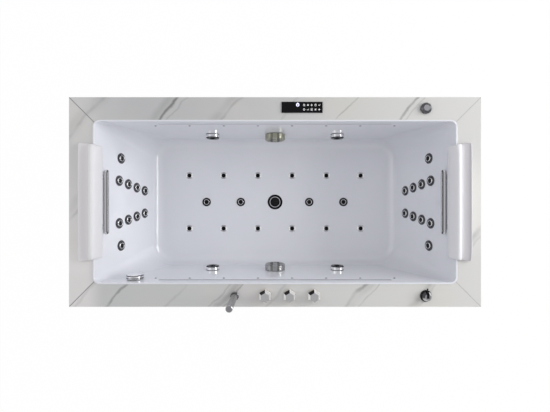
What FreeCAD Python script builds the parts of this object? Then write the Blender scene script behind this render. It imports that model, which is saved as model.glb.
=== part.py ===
"""Jetted bathtub: an acrylic tub in a marble-look deck, with its fittings, frame and plumbing.

The frame is +X along the bath, +Y to its back edge and +Z up, with the origin on the floor
under the middle of the bath. All lengths are millimetres and all angles degrees.
"""
import FreeCAD, Part
import math
import os

import Sketcher
from FreeCAD import Placement, Rotation, Vector

doc = FreeCAD.newDocument("jetted_bathtub")
sheet = doc.addObject("Spreadsheet::Sheet", "Sizes")

X_AXIS = Vector(1, 0, 0)
Y_AXIS = Vector(0, 1, 0)
Z_AXIS = Vector(0, 0, 1)
ORIGIN = (-1, 1)


# ---- sizes: numbers that remember the sheet formula behind them ---------------------------------

class Size:
    """A length or angle with its value and the sheet formula that gives it."""

    def __init__(self, value, formula):
        self.value = float(value)
        self.formula = formula

    def __add__(self, other):
        return joined(self, "+", other, self.value + number(other))

    def __radd__(self, other):
        return joined(other, "+", self, number(other) + self.value)

    def __sub__(self, other):
        return joined(self, "-", other, self.value - number(other))

    def __rsub__(self, other):
        return joined(other, "-", self, number(other) - self.value)

    def __mul__(self, other):
        return joined(self, "*", other, self.value * number(other))

    def __rmul__(self, other):
        return joined(other, "*", self, number(other) * self.value)

    def __truediv__(self, other):
        return joined(self, "/", other, self.value / number(other))

    def __rtruediv__(self, other):
        return joined(other, "/", self, number(other) / self.value)

    def __neg__(self):
        return Size(-self.value, "(-%s)" % self.formula)


def number(value):
    return value.value if isinstance(value, Size) else float(value)


def formula(value):
    return value.formula if isinstance(value, Size) else "%.6f" % value


def joined(left, sign, right, value):
    return Size(value, "(%s %s %s)" % (formula(left), sign, formula(right)))


def sine(angle):
    return Size(math.sin(math.radians(number(angle))), "sin(%s * 1 deg)" % formula(angle))


def cosine(angle):
    return Size(math.cos(math.radians(number(angle))), "cos(%s * 1 deg)" % formula(angle))


def tangent(angle):
    return Size(math.tan(math.radians(number(angle))), "tan(%s * 1 deg)" % formula(angle))


sizes_set = []


def size(name, value):
    """Write one driving dimension into the sheet and return it."""
    sizes_set.append(name)
    cell = "A%d" % len(sizes_set)
    sheet.set(cell, str(value))
    sheet.setAlias(cell, name)
    return Size(value, "Sizes." + name)


# The deck and the basin.
bath_length = size("bath_length", 1800)
bath_width = size("bath_width", 916)
deck_height = size("deck_height", 600)
slab_thickness = size("slab_thickness", 20)
slab_joint = size("slab_joint", 0.6)
deck_end_width = size("deck_end_width", 104)
deck_side_width = size("deck_side_width", 99)
opening_corner = size("opening_corner", 30)
basin_depth = size("basin_depth", 430)
lip_rise = size("lip_rise", 3)
lip_round = size("lip_round", 2.4)
shell_wall = size("shell_wall", 7)
backrest_slope = size("backrest_slope", 18.6)
side_slope = size("side_slope", 2.5)
floor_corner = size("floor_corner", 110)
floor_round = size("floor_round", 55)
flange_thickness = size("flange_thickness", 6)
groove_depth = size("groove_depth", 48)
groove_end_room = size("groove_end_room", 274)
groove_height = size("groove_height", 4)
groove_cut = size("groove_cut", 2.5)

# The aprons and the steel frame.
apron_setback = size("apron_setback", 8)
apron_thickness = size("apron_thickness", 12)
apron_floor_gap = size("apron_floor_gap", 20)
tube_width = size("tube_width", 22)
post_width = size("post_width", 20)
frame_end_room = size("frame_end_room", 57)
frame_side_room = size("frame_side_room", 50)
frame_bottom = size("frame_bottom", 40)
inner_post_x = size("inner_post_x", 250)
cradle_width = size("cradle_width", 30)
cradle_inner_x = size("cradle_inner_x", 140)
cradle_outer_x = size("cradle_outer_x", 560)
shelf_depth = size("shelf_depth", 112)
shelf_half_width = size("shelf_half_width", 220)
shelf_thickness = size("shelf_thickness", 6)
foot_pad_radius = size("foot_pad_radius", 24)
foot_pad_height = size("foot_pad_height", 10)
foot_stud_radius = size("foot_stud_radius", 6)
foot_neck_radius = size("foot_neck_radius", 9.6)
lock_nut_width = size("lock_nut_width", 19)
lock_nut_height = size("lock_nut_height", 10)

# The head pillows and the grab bars.
pillow_length = size("pillow_length", 494)
pillow_edge_room = size("pillow_edge_room", 46)
pillow_overhang = size("pillow_overhang", 40)
pillow_rise = size("pillow_rise", 40)
pillow_drop = size("pillow_drop", 12)
pillow_gap = size("pillow_gap", 0.3)
pillow_round = size("pillow_round", 8)
pillow_heel_rise = size("pillow_heel_rise", 16)
pillow_heel_bow = size("pillow_heel_bow", 4.8)
pillow_crown_bow = size("pillow_crown_bow", 14)
pillow_flare = size("pillow_flare", 7)
pillow_end_round = size("pillow_end_round", 24)
bar_radius = size("bar_radius", 12.5)
bar_length = size("bar_length", 288)
bar_depth = size("bar_depth", 38)
bar_standoff = size("bar_standoff", 26)
bar_post_radius = size("bar_post_radius", 8)
bar_post_y = size("bar_post_y", 112)
bar_rose_radius = size("bar_rose_radius", 13)
bar_rose_height = size("bar_rose_height", 3)
bar_stud_radius = size("bar_stud_radius", 4)
bar_stud_length = size("bar_stud_length", 22)
bar_nut_width = size("bar_nut_width", 13)
bar_nut_height = size("bar_nut_height", 7)

# The small water jets of the backrests and the floor.
jet_barrel = size("jet_barrel", 14.7)
jet_barrel_length = size("jet_barrel_length", 30)
jet_hole_gap = size("jet_hole_gap", 0.3)
jet_tail_radius = size("jet_tail_radius", 9)
jet_tail_length = size("jet_tail_length", 45)
jet_nut_radius = size("jet_nut_radius", 21)
jet_nut_height = size("jet_nut_height", 10)
jet_rim_radius = size("jet_rim_radius", 25)
jet_rim_inner = size("jet_rim_inner", 19)
jet_rim_height = size("jet_rim_height", 4)
jet_face_height = size("jet_face_height", 2.5)
jet_nose_radius = size("jet_nose_radius", 13)
jet_nose_neck = size("jet_nose_neck", 10)
jet_nose_bore = size("jet_nose_bore", 6.5)
jet_nose_height = size("jet_nose_height", 7.5)
back_jet_first_depth = size("back_jet_first_depth", 146)
back_jet_step = size("back_jet_step", 60)
back_jet_first_y = size("back_jet_first_y", 101)
back_jet_y_step = size("back_jet_y_step", 14.2)
lone_jet_depth = size("lone_jet_depth", 158)
lone_jet_y = size("lone_jet_y", 208)
floor_jet_radius = size("floor_jet_radius", 23)
floor_jet_ring = size("floor_jet_ring", 15)
floor_jet_ring_bore = size("floor_jet_ring_bore", 11)
floor_jet_height = size("floor_jet_height", 4)
floor_jet_crown = size("floor_jet_crown", 5)
floor_jet_pitch = size("floor_jet_pitch", 187)

# The air nozzles of the floor and the side walls.
air_nozzle_radius = size("air_nozzle_radius", 19)
air_nozzle_height = size("air_nozzle_height", 3)
air_nozzle_barrel = size("air_nozzle_barrel", 12)
air_nozzle_bore = size("air_nozzle_bore", 10.5)
air_nozzle_bore_depth = size("air_nozzle_bore_depth", 7)
air_nozzle_barrel_length = size("air_nozzle_barrel_length", 18)
air_nozzle_tail = size("air_nozzle_tail", 32)
air_nozzle_tail_radius = size("air_nozzle_tail_radius", 7)
air_nozzle_pitch = size("air_nozzle_pitch", 187.2)
air_nozzle_y = size("air_nozzle_y", 144.5)
wall_nozzle_radius = size("wall_nozzle_radius", 5.5)
wall_nozzle_barrel = size("wall_nozzle_barrel", 3.2)
wall_nozzle_bore = size("wall_nozzle_bore", 1.5)
wall_nozzle_height = size("wall_nozzle_height", 1.6)
wall_nozzle_tail = size("wall_nozzle_tail", 16)
wall_nozzle_end_room = size("wall_nozzle_end_room", 250)
wall_nozzle_depth = size("wall_nozzle_depth", 80)

# The adjustable side jets and the suction inlets.
side_fitting_depth = size("side_fitting_depth", 265)
side_jet_x = size("side_jet_x", 314)
side_jet_barrel = size("side_jet_barrel", 26.7)
side_jet_flange = size("side_jet_flange", 33)
side_jet_collar = size("side_jet_collar", 23)
side_jet_collar_height = size("side_jet_collar_height", 12)
side_jet_cavity = size("side_jet_cavity", 18.5)
side_jet_tail = size("side_jet_tail", 42)
bezel_radius = size("bezel_radius", 33.5)
bezel_height = size("bezel_height", 20)
bezel_mouth = size("bezel_mouth", 17)
running_gap = size("running_gap", 0.08)
face_gap = size("face_gap", 0.4)
ball_radius = size("ball_radius", 18)
ball_depth = size("ball_depth", 3)
ball_nose_radius = size("ball_nose_radius", 10)
ball_nose_reach = size("ball_nose_reach", 20)
ball_bore = size("ball_bore", 7)
suction_radius = size("suction_radius", 50)
suction_height = size("suction_height", 30)
suction_barrel = size("suction_barrel", 28.7)
suction_flange = size("suction_flange", 44)
suction_slot_width = size("suction_slot_width", 5)
suction_slot_start = size("suction_slot_start", 15)

# The waste, the overflow and its rotary control.
waste_flange = size("waste_flange", 40.5)
waste_barrel = size("waste_barrel", 27)
waste_bore = size("waste_bore", 23)
waste_drop = size("waste_drop", 62)
plug_radius = size("plug_radius", 22.5)
plug_stem = size("plug_stem", 5)
plug_guide = size("plug_guide", 9)
spider_top = size("spider_top", 20)
spider_bottom = size("spider_bottom", 40)
plug_stem_drop = size("plug_stem_drop", 45)
plug_gap = size("plug_gap", 0.5)
overflow_inset = size("overflow_inset", 161)
overflow_depth = size("overflow_depth", 67)
overflow_barrel = size("overflow_barrel", 18)
overflow_flange = size("overflow_flange", 34)
overflow_tail = size("overflow_tail", 74)
overflow_port_drop = size("overflow_port_drop", 28.8)
overflow_knob_radius = size("overflow_knob_radius", 38)
overflow_knob_height = size("overflow_knob_height", 22)
overflow_spindle = size("overflow_spindle", 6)
waste_pipe_radius = size("waste_pipe_radius", 12)
waste_pipe_level = size("waste_pipe_level", 88)
waste_outlet_radius = size("waste_outlet_radius", 20)
waste_outlet_end = size("waste_outlet_end", 30)
waste_outlet_length = size("waste_outlet_length", 42)
waste_tee_radius = size("waste_tee_radius", 26)
waste_pipe_bend = size("waste_pipe_bend", 38)
overflow_pipe_outset = size("overflow_pipe_outset", 22)

# The fittings that stand on the deck.
fitting_inset = size("fitting_inset", 48)
valve_first_x = size("valve_first_x", -43)
valve_pitch = size("valve_pitch", 106)
valve_barrel = size("valve_barrel", 15)
valve_drop = size("valve_drop", 90)
valve_rose = size("valve_rose", 25)
valve_rose_height = size("valve_rose_height", 4)
valve_spindle = size("valve_spindle", 6)
valve_spindle_rise = size("valve_spindle_rise", 24)
valve_tail_radius = size("valve_tail_radius", 10.5)
valve_tail_drop = size("valve_tail_drop", 160)
deck_hole_gap = size("deck_hole_gap", 1)
knob_base = size("knob_base", 29)
knob_top = size("knob_top", 20)
knob_height = size("knob_height", 34)
knob_skirt = size("knob_skirt", 8)
mixer_inset = size("mixer_inset", 241)
mixer_rose = size("mixer_rose", 26)
mixer_rose_height = size("mixer_rose_height", 6)
mixer_pivot_rise = size("mixer_pivot_rise", 9)
mixer_cap_radius = size("mixer_cap_radius", 21)
mixer_cap_height = size("mixer_cap_height", 26)
mixer_cap_top = size("mixer_cap_top", 13)
mixer_cap_skirt = size("mixer_cap_skirt", 8)
lever_pivot_height = size("lever_pivot_height", 17.5)
lever_root_radius = size("lever_root_radius", 6)
lever_root_width = size("lever_root_width", 11)
lever_reach = size("lever_reach", 36)
lever_tip_width = size("lever_tip_width", 5)
lever_thickness = size("lever_thickness", 5)
lever_pin = size("lever_pin", 2.5)
lever_pin_reach = size("lever_pin_reach", 9.1)
air_control_inset_x = size("air_control_inset_x", 242)
air_control_inset_y = size("air_control_inset_y", 50)
air_knob_radius = size("air_knob_radius", 24)
air_knob_height = size("air_knob_height", 17)
air_rose = size("air_rose", 20)
air_knob_top = size("air_knob_top", 14)
air_spindle_rise = size("air_spindle_rise", 10.2)
air_barrel_drop = size("air_barrel_drop", 45)
panel_x = size("panel_x", 118)
panel_inset = size("panel_inset", 45)
panel_length = size("panel_length", 179)
panel_width = size("panel_width", 47.5)
panel_glass = size("panel_glass", 4)
panel_box_length = size("panel_box_length", 160)
panel_box_width = size("panel_box_width", 34)
panel_box_drop = size("panel_box_drop", 45)
shower_x = size("shower_x", 176)
shower_radius = size("shower_radius", 14)
shower_height = size("shower_height", 212)
shower_shank = size("shower_shank", 11.9)
shower_shank_drop = size("shower_shank_drop", 40)
holder_radius = size("holder_radius", 18.5)
holder_rise = size("holder_rise", 11)
holder_barrel = size("holder_barrel", 15)
holder_drop = size("holder_drop", 60)

# The pump, the blower, the control box and the pipes.
pump_inset = size("pump_inset", 38)
pump_axis_z = size("pump_axis_z", 143)
motor_radius = size("motor_radius", 58)
motor_length = size("motor_length", 240)
motor_start_y = size("motor_start_y", -60)
motor_foot_width = size("motor_foot_width", 72)
motor_foot_length = size("motor_foot_length", 144)
volute_radius = size("volute_radius", 66)
volute_width = size("volute_width", 60)
volute_wall = size("volute_wall", 6)
pump_port_radius = size("pump_port_radius", 20)
pump_port_length = size("pump_port_length", 30)
pump_outlet_radius = size("pump_outlet_radius", 14)
pump_outlet_top = size("pump_outlet_top", 300)
impeller_radius = size("impeller_radius", 48)
impeller_width = size("impeller_width", 22)
shaft_radius = size("shaft_radius", 7)
shaft_length = size("shaft_length", 60)
blower_inset = size("blower_inset", 48)
blower_radius = size("blower_radius", 78)
blower_height = size("blower_height", 120)
blower_shoulder = size("blower_shoulder", 72)
blower_waist = size("blower_waist", 90)
blower_dome = size("blower_dome", 62.4)
control_box_depth = size("control_box_depth", 50)
control_box_length = size("control_box_length", 220)
control_box_height = size("control_box_height", 140)
control_box_y = size("control_box_y", 230)
ring_pipe_outset = size("ring_pipe_outset", 12)
ring_pipe_inset = size("ring_pipe_inset", 16)
ring_pipe_z = size("ring_pipe_z", 395)
ring_pipe_radius = size("ring_pipe_radius", 13)
ring_pipe_bend = size("ring_pipe_bend", 60)
branch_radius = size("branch_radius", 9)
pipe_wall = size("pipe_wall", 2)
manifold_radius = size("manifold_radius", 11)
manifold_feed_inset = size("manifold_feed_inset", 23)
floor_pipe_z = size("floor_pipe_z", 112)
floor_pipe_radius = size("floor_pipe_radius", 10)
floor_detour_x = size("floor_detour_x", 111)
floor_detour_y = size("floor_detour_y", 63)
air_pipe_z = size("air_pipe_z", 118)
air_pipe_radius = size("air_pipe_radius", 9)
wall_air_pipe_radius = size("wall_air_pipe_radius", 7)
wall_air_drop = size("wall_air_drop", 49)
air_riser_outset = size("air_riser_outset", 26.4)
suction_pipe_radius = size("suction_pipe_radius", 16)
suction_pipe_bend = size("suction_pipe_bend", 25.6)
suction_pipe_inset = size("suction_pipe_inset", 68)
suction_pipe_z = size("suction_pipe_z", 100)
suction_cross_x = size("suction_cross_x", 80)
suction_cross_z = size("suction_cross_z", 58)

doc.recompute()

# Levels and wall lines worked out from the driving sizes.
slab_bottom = deck_height - slab_thickness
flange_bottom = slab_bottom - flange_thickness
lip_top = deck_height + lip_rise
floor_top = deck_height - basin_depth
floor_under = floor_top - shell_wall
shelf_bottom = frame_bottom + tube_width
shelf_top = shelf_bottom + shelf_thickness
opening_length = bath_length - deck_end_width * 2
opening_width = bath_width - deck_side_width * 2
groove_length = opening_length - groove_end_room * 2
wall_nozzle_pitch = (opening_length - wall_nozzle_end_room * 2) / 7
apron_outer_x = bath_length / 2 - apron_setback
apron_outer_y = bath_width / 2 - apron_setback
frame_half_length = apron_outer_x - apron_thickness - frame_end_room
frame_half_width = apron_outer_y - apron_thickness - frame_side_room
end_post_x = frame_half_length - post_width / 2
shelf_rail_x = frame_half_length - shelf_depth
pillow_outer_x = bath_length / 2 - pillow_edge_room
pillow_inner_x = opening_length / 2 - pillow_overhang
overflow_x = opening_length / 2 - overflow_inset
overflow_pipe_y = frame_half_width + overflow_pipe_outset
fitting_y = bath_width / 2 - fitting_inset
mixer_x = bath_length / 2 - mixer_inset
air_control_x = bath_length / 2 - air_control_inset_x
air_control_y = bath_width / 2 - air_control_inset_y
panel_y = bath_width / 2 - panel_inset
pump_x = frame_half_length - pump_inset
blower_x = frame_half_length - blower_inset
ring_pipe_x = frame_half_length + ring_pipe_outset
ring_pipe_y = frame_half_width - ring_pipe_inset
manifold_feed_x = frame_half_length - manifold_feed_inset
suction_pipe_y = frame_half_width - suction_pipe_inset
rim_half_length = opening_length / 2 - shell_wall
rim_half_width = opening_width / 2 - shell_wall


def end_wall_x(level):
    """Distance of a backrest's wet face from the middle of the bath at a level."""
    return rim_half_length - tangent(backrest_slope) * (lip_top - level)


def side_wall_y(level):
    """Distance of a long wall's wet face from the middle of the bath at a level."""
    return rim_half_width - tangent(side_slope) * (lip_top - level)


# ---- makers ----------------------------------------------------------------------------------

nodes = []


def node(obj, name):
    """Give an object its name and list it for export."""
    obj.Label = name
    nodes.append(obj)
    return obj


def bind(obj, prop, value):
    """Set a property and tie it to the sheet."""
    setattr(obj, prop, number(value))
    if isinstance(value, Size):
        obj.setExpression(prop, value.formula)


def place(obj, spot):
    """Put an object at (x, y, z) or (x, y, z, axis, angle)."""
    x, y, z = spot[:3]
    axis, angle = spot[3:] if len(spot) > 3 else (Z_AXIS, 0)
    base = Vector(number(x), number(y), number(z))
    obj.Placement = Placement(base, Rotation(axis, number(angle)))
    for letter, value in zip("xyz", (x, y, z)):
        if isinstance(value, Size):
            obj.setExpression("Placement.Base." + letter, value.formula)
    if isinstance(angle, Size):
        obj.setExpression("Placement.Rotation.Angle", angle.formula)
    return obj


def new_body(name):
    return doc.addObject("PartDesign::Body", name)


def sketch_on(body, role, level=0):
    """A sketch on one of the body's own origin planes, moved along its normal to a level."""
    sketch = body.newObject("Sketcher::SketchObject", body.Name + "_sketch")
    plane = [feature for feature in body.Origin.OriginFeatures if feature.Role == role][0]
    sketch.AttachmentSupport = [(plane, "")]
    sketch.MapMode = "FlatFace"
    sketch.AttachmentOffset = Placement(Vector(0, 0, number(level)), Rotation())
    if isinstance(level, Size):
        sketch.setExpression("AttachmentOffset.Base.z", level.formula)
    return sketch


def hold(sketch, kind, edge, point, value):
    """Hold one coordinate of an edge's end from the sketch's origin."""
    index = sketch.addConstraint(Sketcher.Constraint(kind, *ORIGIN, edge, point, number(value)))
    if isinstance(value, Size):
        sketch.setExpression("Constraints[%d]" % index, value.formula)


def bowed_edge(start, end, bow):
    """An edge from start to end: straight, or an arc that stands to its right by the bow."""
    a, b = Vector(*start, 0), Vector(*end, 0)
    if not bow:
        return Part.LineSegment(a, b)
    across = (b - a).cross(Z_AXIS).normalize()
    return Part.Arc(a, (a + b) / 2 + across * bow, b)


def end_near(sketch, edge, point):
    """Which end of a sketch edge, 1 or 2, lies at the point: an arc may run the other way."""
    curve = sketch.Geometry[edge]
    return 1 if (curve.StartPoint - point).Length < (curve.EndPoint - point).Length else 2


def outline(sketch, corners):
    """A closed outline through (x, y) corners; a third value bows the edge that follows."""
    count = len(corners)
    flat = [(number(corner[0]), number(corner[1])) for corner in corners]
    for index, corner in enumerate(corners):
        bow = number(corner[2]) if len(corner) > 2 else 0
        sketch.addGeometry(bowed_edge(flat[index], flat[(index + 1) % count], bow))
    for index in range(count):
        after = (index + 1) % count
        point = Vector(*flat[after], 0)
        here, there = end_near(sketch, index, point), end_near(sketch, after, point)
        sketch.addConstraint(Sketcher.Constraint("Coincident", index, here, after, there))
        hold(sketch, "DistanceX", after, there, corners[after][0])
        hold(sketch, "DistanceY", after, there, corners[after][1])
    for index, corner in enumerate(corners):
        if len(corner) > 2:
            run = corners[(index + 1) % count][0] - corner[0]
            rise = corners[(index + 1) % count][1] - corner[1]
            bow = corner[2]
            radius = ((run * run + rise * rise) / 4 + bow * bow) / (bow * 2)
            entry = sketch.addConstraint(Sketcher.Constraint("Radius", index, number(radius)))
            if isinstance(radius, Size):
                sketch.setExpression("Constraints[%d]" % entry, radius.formula)
    return sketch


def rounded_rectangle(sketch, half_x, half_y, corner):
    """A rectangle about the sketch's origin with round corners."""
    quarter = 1 - math.sqrt(0.5)
    inner_x, inner_y = half_x - corner, half_y - corner
    return outline(sketch, [
        (inner_x, -half_y, corner * quarter), (half_x, -inner_y),
        (half_x, inner_y, corner * quarter), (inner_x, half_y),
        (-inner_x, half_y, corner * quarter), (-half_x, inner_y),
        (-half_x, -inner_y, corner * quarter), (-inner_x, -half_y),
    ])


def pad(body, sketch, length, midplane=False):
    feature = body.newObject("PartDesign::Pad", body.Name + "_pad")
    feature.Profile = sketch
    bind(feature, "Length", length)
    if midplane:
        feature.Midplane = True
    return feature


def round_edges(body, feature, edges, radius):
    """Round the named edges of the body's last feature."""
    fillet = body.newObject("PartDesign::Fillet", body.Name + "_round")
    fillet.Base = (feature, edges)
    bind(fillet, "Radius", radius)
    return fillet


def ring_edges(feature, radius, level):
    """The edges of a turned shape that run round its axis at a radius and a level."""
    doc.recompute()
    found = []
    for index, edge in enumerate(feature.Shape.Edges):
        curve = edge.Curve
        if isinstance(curve, Part.Circle) and abs(curve.Radius - number(radius)) < 1e-3 \
                and abs(curve.Center.z - number(level)) < 1e-3:
            found.append("Edge%d" % (index + 1))
    return found


def turned(name, profile, rounds=()):
    """A solid turned about its own Z axis from (radius, level) corners, with rounded rims."""
    body = new_body(name)
    sketch = outline(sketch_on(body, "XZ_Plane"), profile)
    feature = body.newObject("PartDesign::Revolution", name + "_turn")
    feature.Profile = sketch
    feature.ReferenceAxis = (sketch, ["V_Axis"])
    feature.Angle = 360
    for radius, level, rounding in rounds:
        feature = round_edges(body, feature, ring_edges(feature, radius, level), rounding)
    return body


def block(name, x_range, y_range, z_range):
    """A box between two values on each axis."""
    box = doc.addObject("Part::Box", name)
    for prop, (low, high) in zip(("Length", "Width", "Height"), (x_range, y_range, z_range)):
        bind(box, prop, high - low)
    return place(box, (x_range[0], y_range[0], z_range[0]))


def rod(name, radius, length, spot=(0, 0, 0)):
    """A cylinder that rises from its spot along its own Z axis."""
    cylinder = doc.addObject("Part::Cylinder", name)
    bind(cylinder, "Radius", radius)
    bind(cylinder, "Height", length)
    return place(cylinder, spot)


def fuse(name, parts):
    joined_parts = doc.addObject("Part::MultiFuse", name)
    joined_parts.Shapes = parts
    return joined_parts


def cut(name, base, tool):
    carved = doc.addObject("Part::Cut", name)
    carved.Base = base
    carved.Tool = tool
    return carved


def copies(name, source, spots):
    """The same piece, as it stands, at several spots: one group of separate solids."""
    links = []
    pattern = gather(name + "_pattern", [source])
    for index, spot in enumerate(spots):
        link = doc.addObject("App::Link", "%s_%d" % (name, index + 1))
        link.LinkedObject = pattern
        links.append(place(link, spot))
    gathered = doc.addObject("Part::Compound", name)
    gathered.Links = links
    return gathered


def gather(name, parts):
    gathered = doc.addObject("Part::Compound", name)
    gathered.Links = parts
    return gathered


def nut(name, width, height, bore):
    """A hexagonal nut on its own Z axis."""
    hexagon = doc.addObject("Part::Prism", name + "_hexagon")
    hexagon.Polygon = 6
    bind(hexagon, "Circumradius", width / math.sqrt(3))
    bind(hexagon, "Height", height)
    return cut(name, hexagon, rod(name + "_thread", bore, height))


def pipe_solid(points, radius, bend):
    """A round solid along straight runs joined by tangent arcs."""
    corners = [Vector(*[number(value) for value in point]) for point in points]
    edges = []
    start = corners[0]
    for before, corner, after in zip(corners, corners[1:], corners[2:]):
        inward = (before - corner).normalize()
        outward = (after - corner).normalize()
        half_turn = (math.pi - inward.getAngle(outward)) / 2
        reach = bend * math.tan(half_turn)
        first, last = corner + inward * reach, corner + outward * reach
        middle = (inward + outward).normalize()
        centre = corner + middle * (bend / math.cos(half_turn))
        edges.append(Part.LineSegment(start, first).toShape())
        edges.append(Part.Arc(first, centre - middle * bend, last).toShape())
        start = last
    edges.append(Part.LineSegment(start, corners[-1]).toShape())
    direction = corners[1] - corners[0]
    section = Part.Wire([Part.makeCircle(radius, corners[0], direction)])
    return Part.Wire(edges).makePipeShell([section], True, False)


def plumbing(name, runs, sleeves=()):
    """Glued pipes: every (points, radius, bend) run bored out, and sleeves that only thicken them."""
    outer = [pipe_solid(points, number(radius), number(bend)) for points, radius, bend in [*runs, *sleeves]]
    inner = [pipe_solid(points, number(radius - pipe_wall), number(bend)) for points, radius, bend in runs]
    outside = outer[0].multiFuse(outer[1:]) if len(outer) > 1 else outer[0]
    inside = inner[0].multiFuse(inner[1:]) if len(inner) > 1 else inner[0]
    piping = doc.addObject("Part::Feature", name)
    piping.Shape = outside.cut(inside)
    return piping


# Spots on the walls: a fitting's own Z axis points out of the wall into the basin.

def on_backrest(side, depth, across):
    """A spot on the right (1) or left (-1) backrest at a depth below the deck."""
    level = deck_height - depth
    return (side * end_wall_x(level), across, level, Y_AXIS, -side * (90 - backrest_slope))


def on_side_wall(side, along, depth):
    """A spot on the back (1) or front (-1) long wall at a depth below the deck."""
    level = deck_height - depth
    return (along, side * side_wall_y(level), level, X_AXIS, side * (90 - side_slope))


def on_floor(along, across):
    return (along, across, floor_top)


half_turn_about_z = (0, 0, 0, Z_AXIS, 180)


# ---- where the fittings sit ---------------------------------------------------------------------

back_jet_spots = []
for side in (1, -1):
    for across_side in (1, -1):
        for row in range(4):
            depth = back_jet_first_depth + back_jet_step * row
            across = across_side * (back_jet_first_y - back_jet_y_step * row)
            back_jet_spots.append(on_backrest(side, depth, across))
        back_jet_spots.append(on_backrest(side, lone_jet_depth, across_side * lone_jet_y))

floor_jet_spots = [on_floor(floor_jet_pitch * step, 0) for step in (-2, -1, 1, 2)]
air_nozzle_spots = [on_floor(air_nozzle_pitch * step, side * air_nozzle_y)
                    for side in (1, -1) for step in (-2.5, -1.5, -0.5, 0.5, 1.5, 2.5)]
wall_nozzle_spots = [on_side_wall(side, wall_nozzle_pitch * step, wall_nozzle_depth)
                     for side in (1, -1) for step in (-3.5, -2.5, -1.5, -0.5, 0.5, 1.5, 2.5, 3.5)]
side_jet_places = {
    "back_left": (1, -1), "back_right": (1, 1), "front_left": (-1, -1), "front_right": (-1, 1),
}
side_jet_spots = [on_side_wall(side, end * side_jet_x, side_fitting_depth)
                  for side, end in side_jet_places.values()]
suction_spots = [on_side_wall(side, 0, side_fitting_depth) for side in (1, -1)]
overflow_spot = on_side_wall(-1, -overflow_x, overflow_depth)
bar_stud_spots = []
for side in (1, -1):
    for across_side in (1, -1):
        bar_stud_spots.append(on_backrest(side, bar_depth, across_side * bar_post_y))
valve_spots = [(valve_first_x + valve_pitch * step, -fitting_y) for step in range(3)]


# ---- the basin -----------------------------------------------------------------------------------

def level_edges(feature, level):
    """The numbers of a shape's edges that lie flat at a level."""
    doc.recompute()
    found = []
    for index, edge in enumerate(feature.Shape.Edges):
        box = edge.BoundBox
        if abs(box.ZMin - number(level)) < 1e-3 and abs(box.ZMax - number(level)) < 1e-3:
            found.append(index + 1)
    return found


def rounded_edges(name, base, edges):
    """Round edges given as (edge number, radius at its first end, radius at its last end)."""
    fillet = doc.addObject("Part::Fillet", name)
    fillet.Base = base
    fillet.Edges = edges
    return fillet


def basin_block(name, low, high, wall, low_corner, high_corner, floor_rounding):
    """A block with the basin's four leaning walls set out by a wall thickness, its edges rounded."""
    end_wall, side_wall = wall / cosine(backrest_slope), wall / cosine(side_slope)
    leaning = []
    for plane, reach, thickness in (("XZ_Plane", end_wall_x, end_wall), ("YZ_Plane", side_wall_y, side_wall)):
        body = new_body(name + plane)
        foot, top = reach(low) + thickness, reach(high) + thickness
        profile = outline(sketch_on(body, plane), [(-foot, low), (foot, low), (top, high), (-top, high)])
        pad(body, profile, bath_length, midplane=True)
        leaning.append(body)
    walls = doc.addObject("Part::Common", name + "_walls")
    walls.Base, walls.Tool = leaning
    doc.recompute()
    uprights = []
    for index, edge in enumerate(walls.Shape.Edges):
        first, last = edge.Vertexes[0].Z, edge.Vertexes[-1].Z
        if abs(first - last) > 1:
            corners = (low_corner, high_corner) if first < last else (high_corner, low_corner)
            uprights.append((index + 1, number(corners[0]), number(corners[1])))
    block_walls = rounded_edges(name + "_corners", walls, uprights)
    floor_loop = [(edge, number(floor_rounding), number(floor_rounding))
                  for edge in level_edges(block_walls, low)]
    return rounded_edges(name + "_floor", block_walls, floor_loop)


def tub_body():
    """The moulded basin: sloping backrests, steep sides, a flange under the deck, a lip above it."""
    outside = basin_block("tub_outside", floor_under, slab_bottom, shell_wall,
                          floor_corner + shell_wall, opening_corner, floor_round + shell_wall)
    inside = basin_block("tub_inside", floor_top, lip_top + shell_wall, 0, floor_corner,
                         opening_corner - shell_wall, floor_round)
    flange = new_body("tub_flange")
    pad(flange, rounded_rectangle(sketch_on(flange, "XY_Plane", flange_bottom), frame_half_length,
                                  frame_half_width, opening_corner), flange_thickness)
    neck = new_body("tub_neck")
    pad(neck, rounded_rectangle(sketch_on(neck, "XY_Plane", flange_bottom), opening_length / 2,
                                opening_width / 2, opening_corner), lip_top - flange_bottom)
    basin = cut("tub_basin", fuse("tub_solid", [outside, flange, neck]), inside)
    lip = [(edge, number(lip_round), number(lip_round)) for edge in level_edges(basin, lip_top)]
    return rounded_edges("tub_lip", basin, lip)


def drilled(name, base, radius, spots):
    """The shell with round holes through it at every spot."""
    bit = rod(name + "_bit", radius, shell_wall * 4, (0, 0, -(shell_wall * 2.5)))
    return cut(name, base, copies(name + "_bits", bit, spots))


def make_tub_shell():
    """The moulded basin with a hole for every fitting and a step line along both long walls."""
    shell = drilled("jet_holes", tub_body(), jet_barrel + jet_hole_gap, back_jet_spots + floor_jet_spots)
    shell = drilled("air_holes", shell, air_nozzle_barrel + jet_hole_gap, air_nozzle_spots)
    shell = drilled("pinhole_jets", shell, wall_nozzle_barrel + jet_hole_gap, wall_nozzle_spots)
    shell = drilled("side_jet_holes", shell, side_jet_barrel + jet_hole_gap, side_jet_spots)
    shell = drilled("suction_holes", shell, suction_barrel + jet_hole_gap, suction_spots)
    shell = drilled("bar_holes", shell, bar_stud_radius + jet_hole_gap, bar_stud_spots)
    shell = drilled("overflow_hole", shell, overflow_barrel + jet_hole_gap, [overflow_spot])
    shell = drilled("waste_hole", shell, waste_barrel + jet_hole_gap, [on_floor(0, 0)])
    half = groove_length / 2
    groove = block("groove_cutter", (-half, half), (-groove_height / 2, groove_height / 2),
                   (-groove_cut, groove_cut))
    grooves = copies("step_lines", groove, [on_side_wall(side, 0, groove_depth) for side in (1, -1)])
    node(cut("tub_shell", shell, grooves), "tub_shell")


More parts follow.
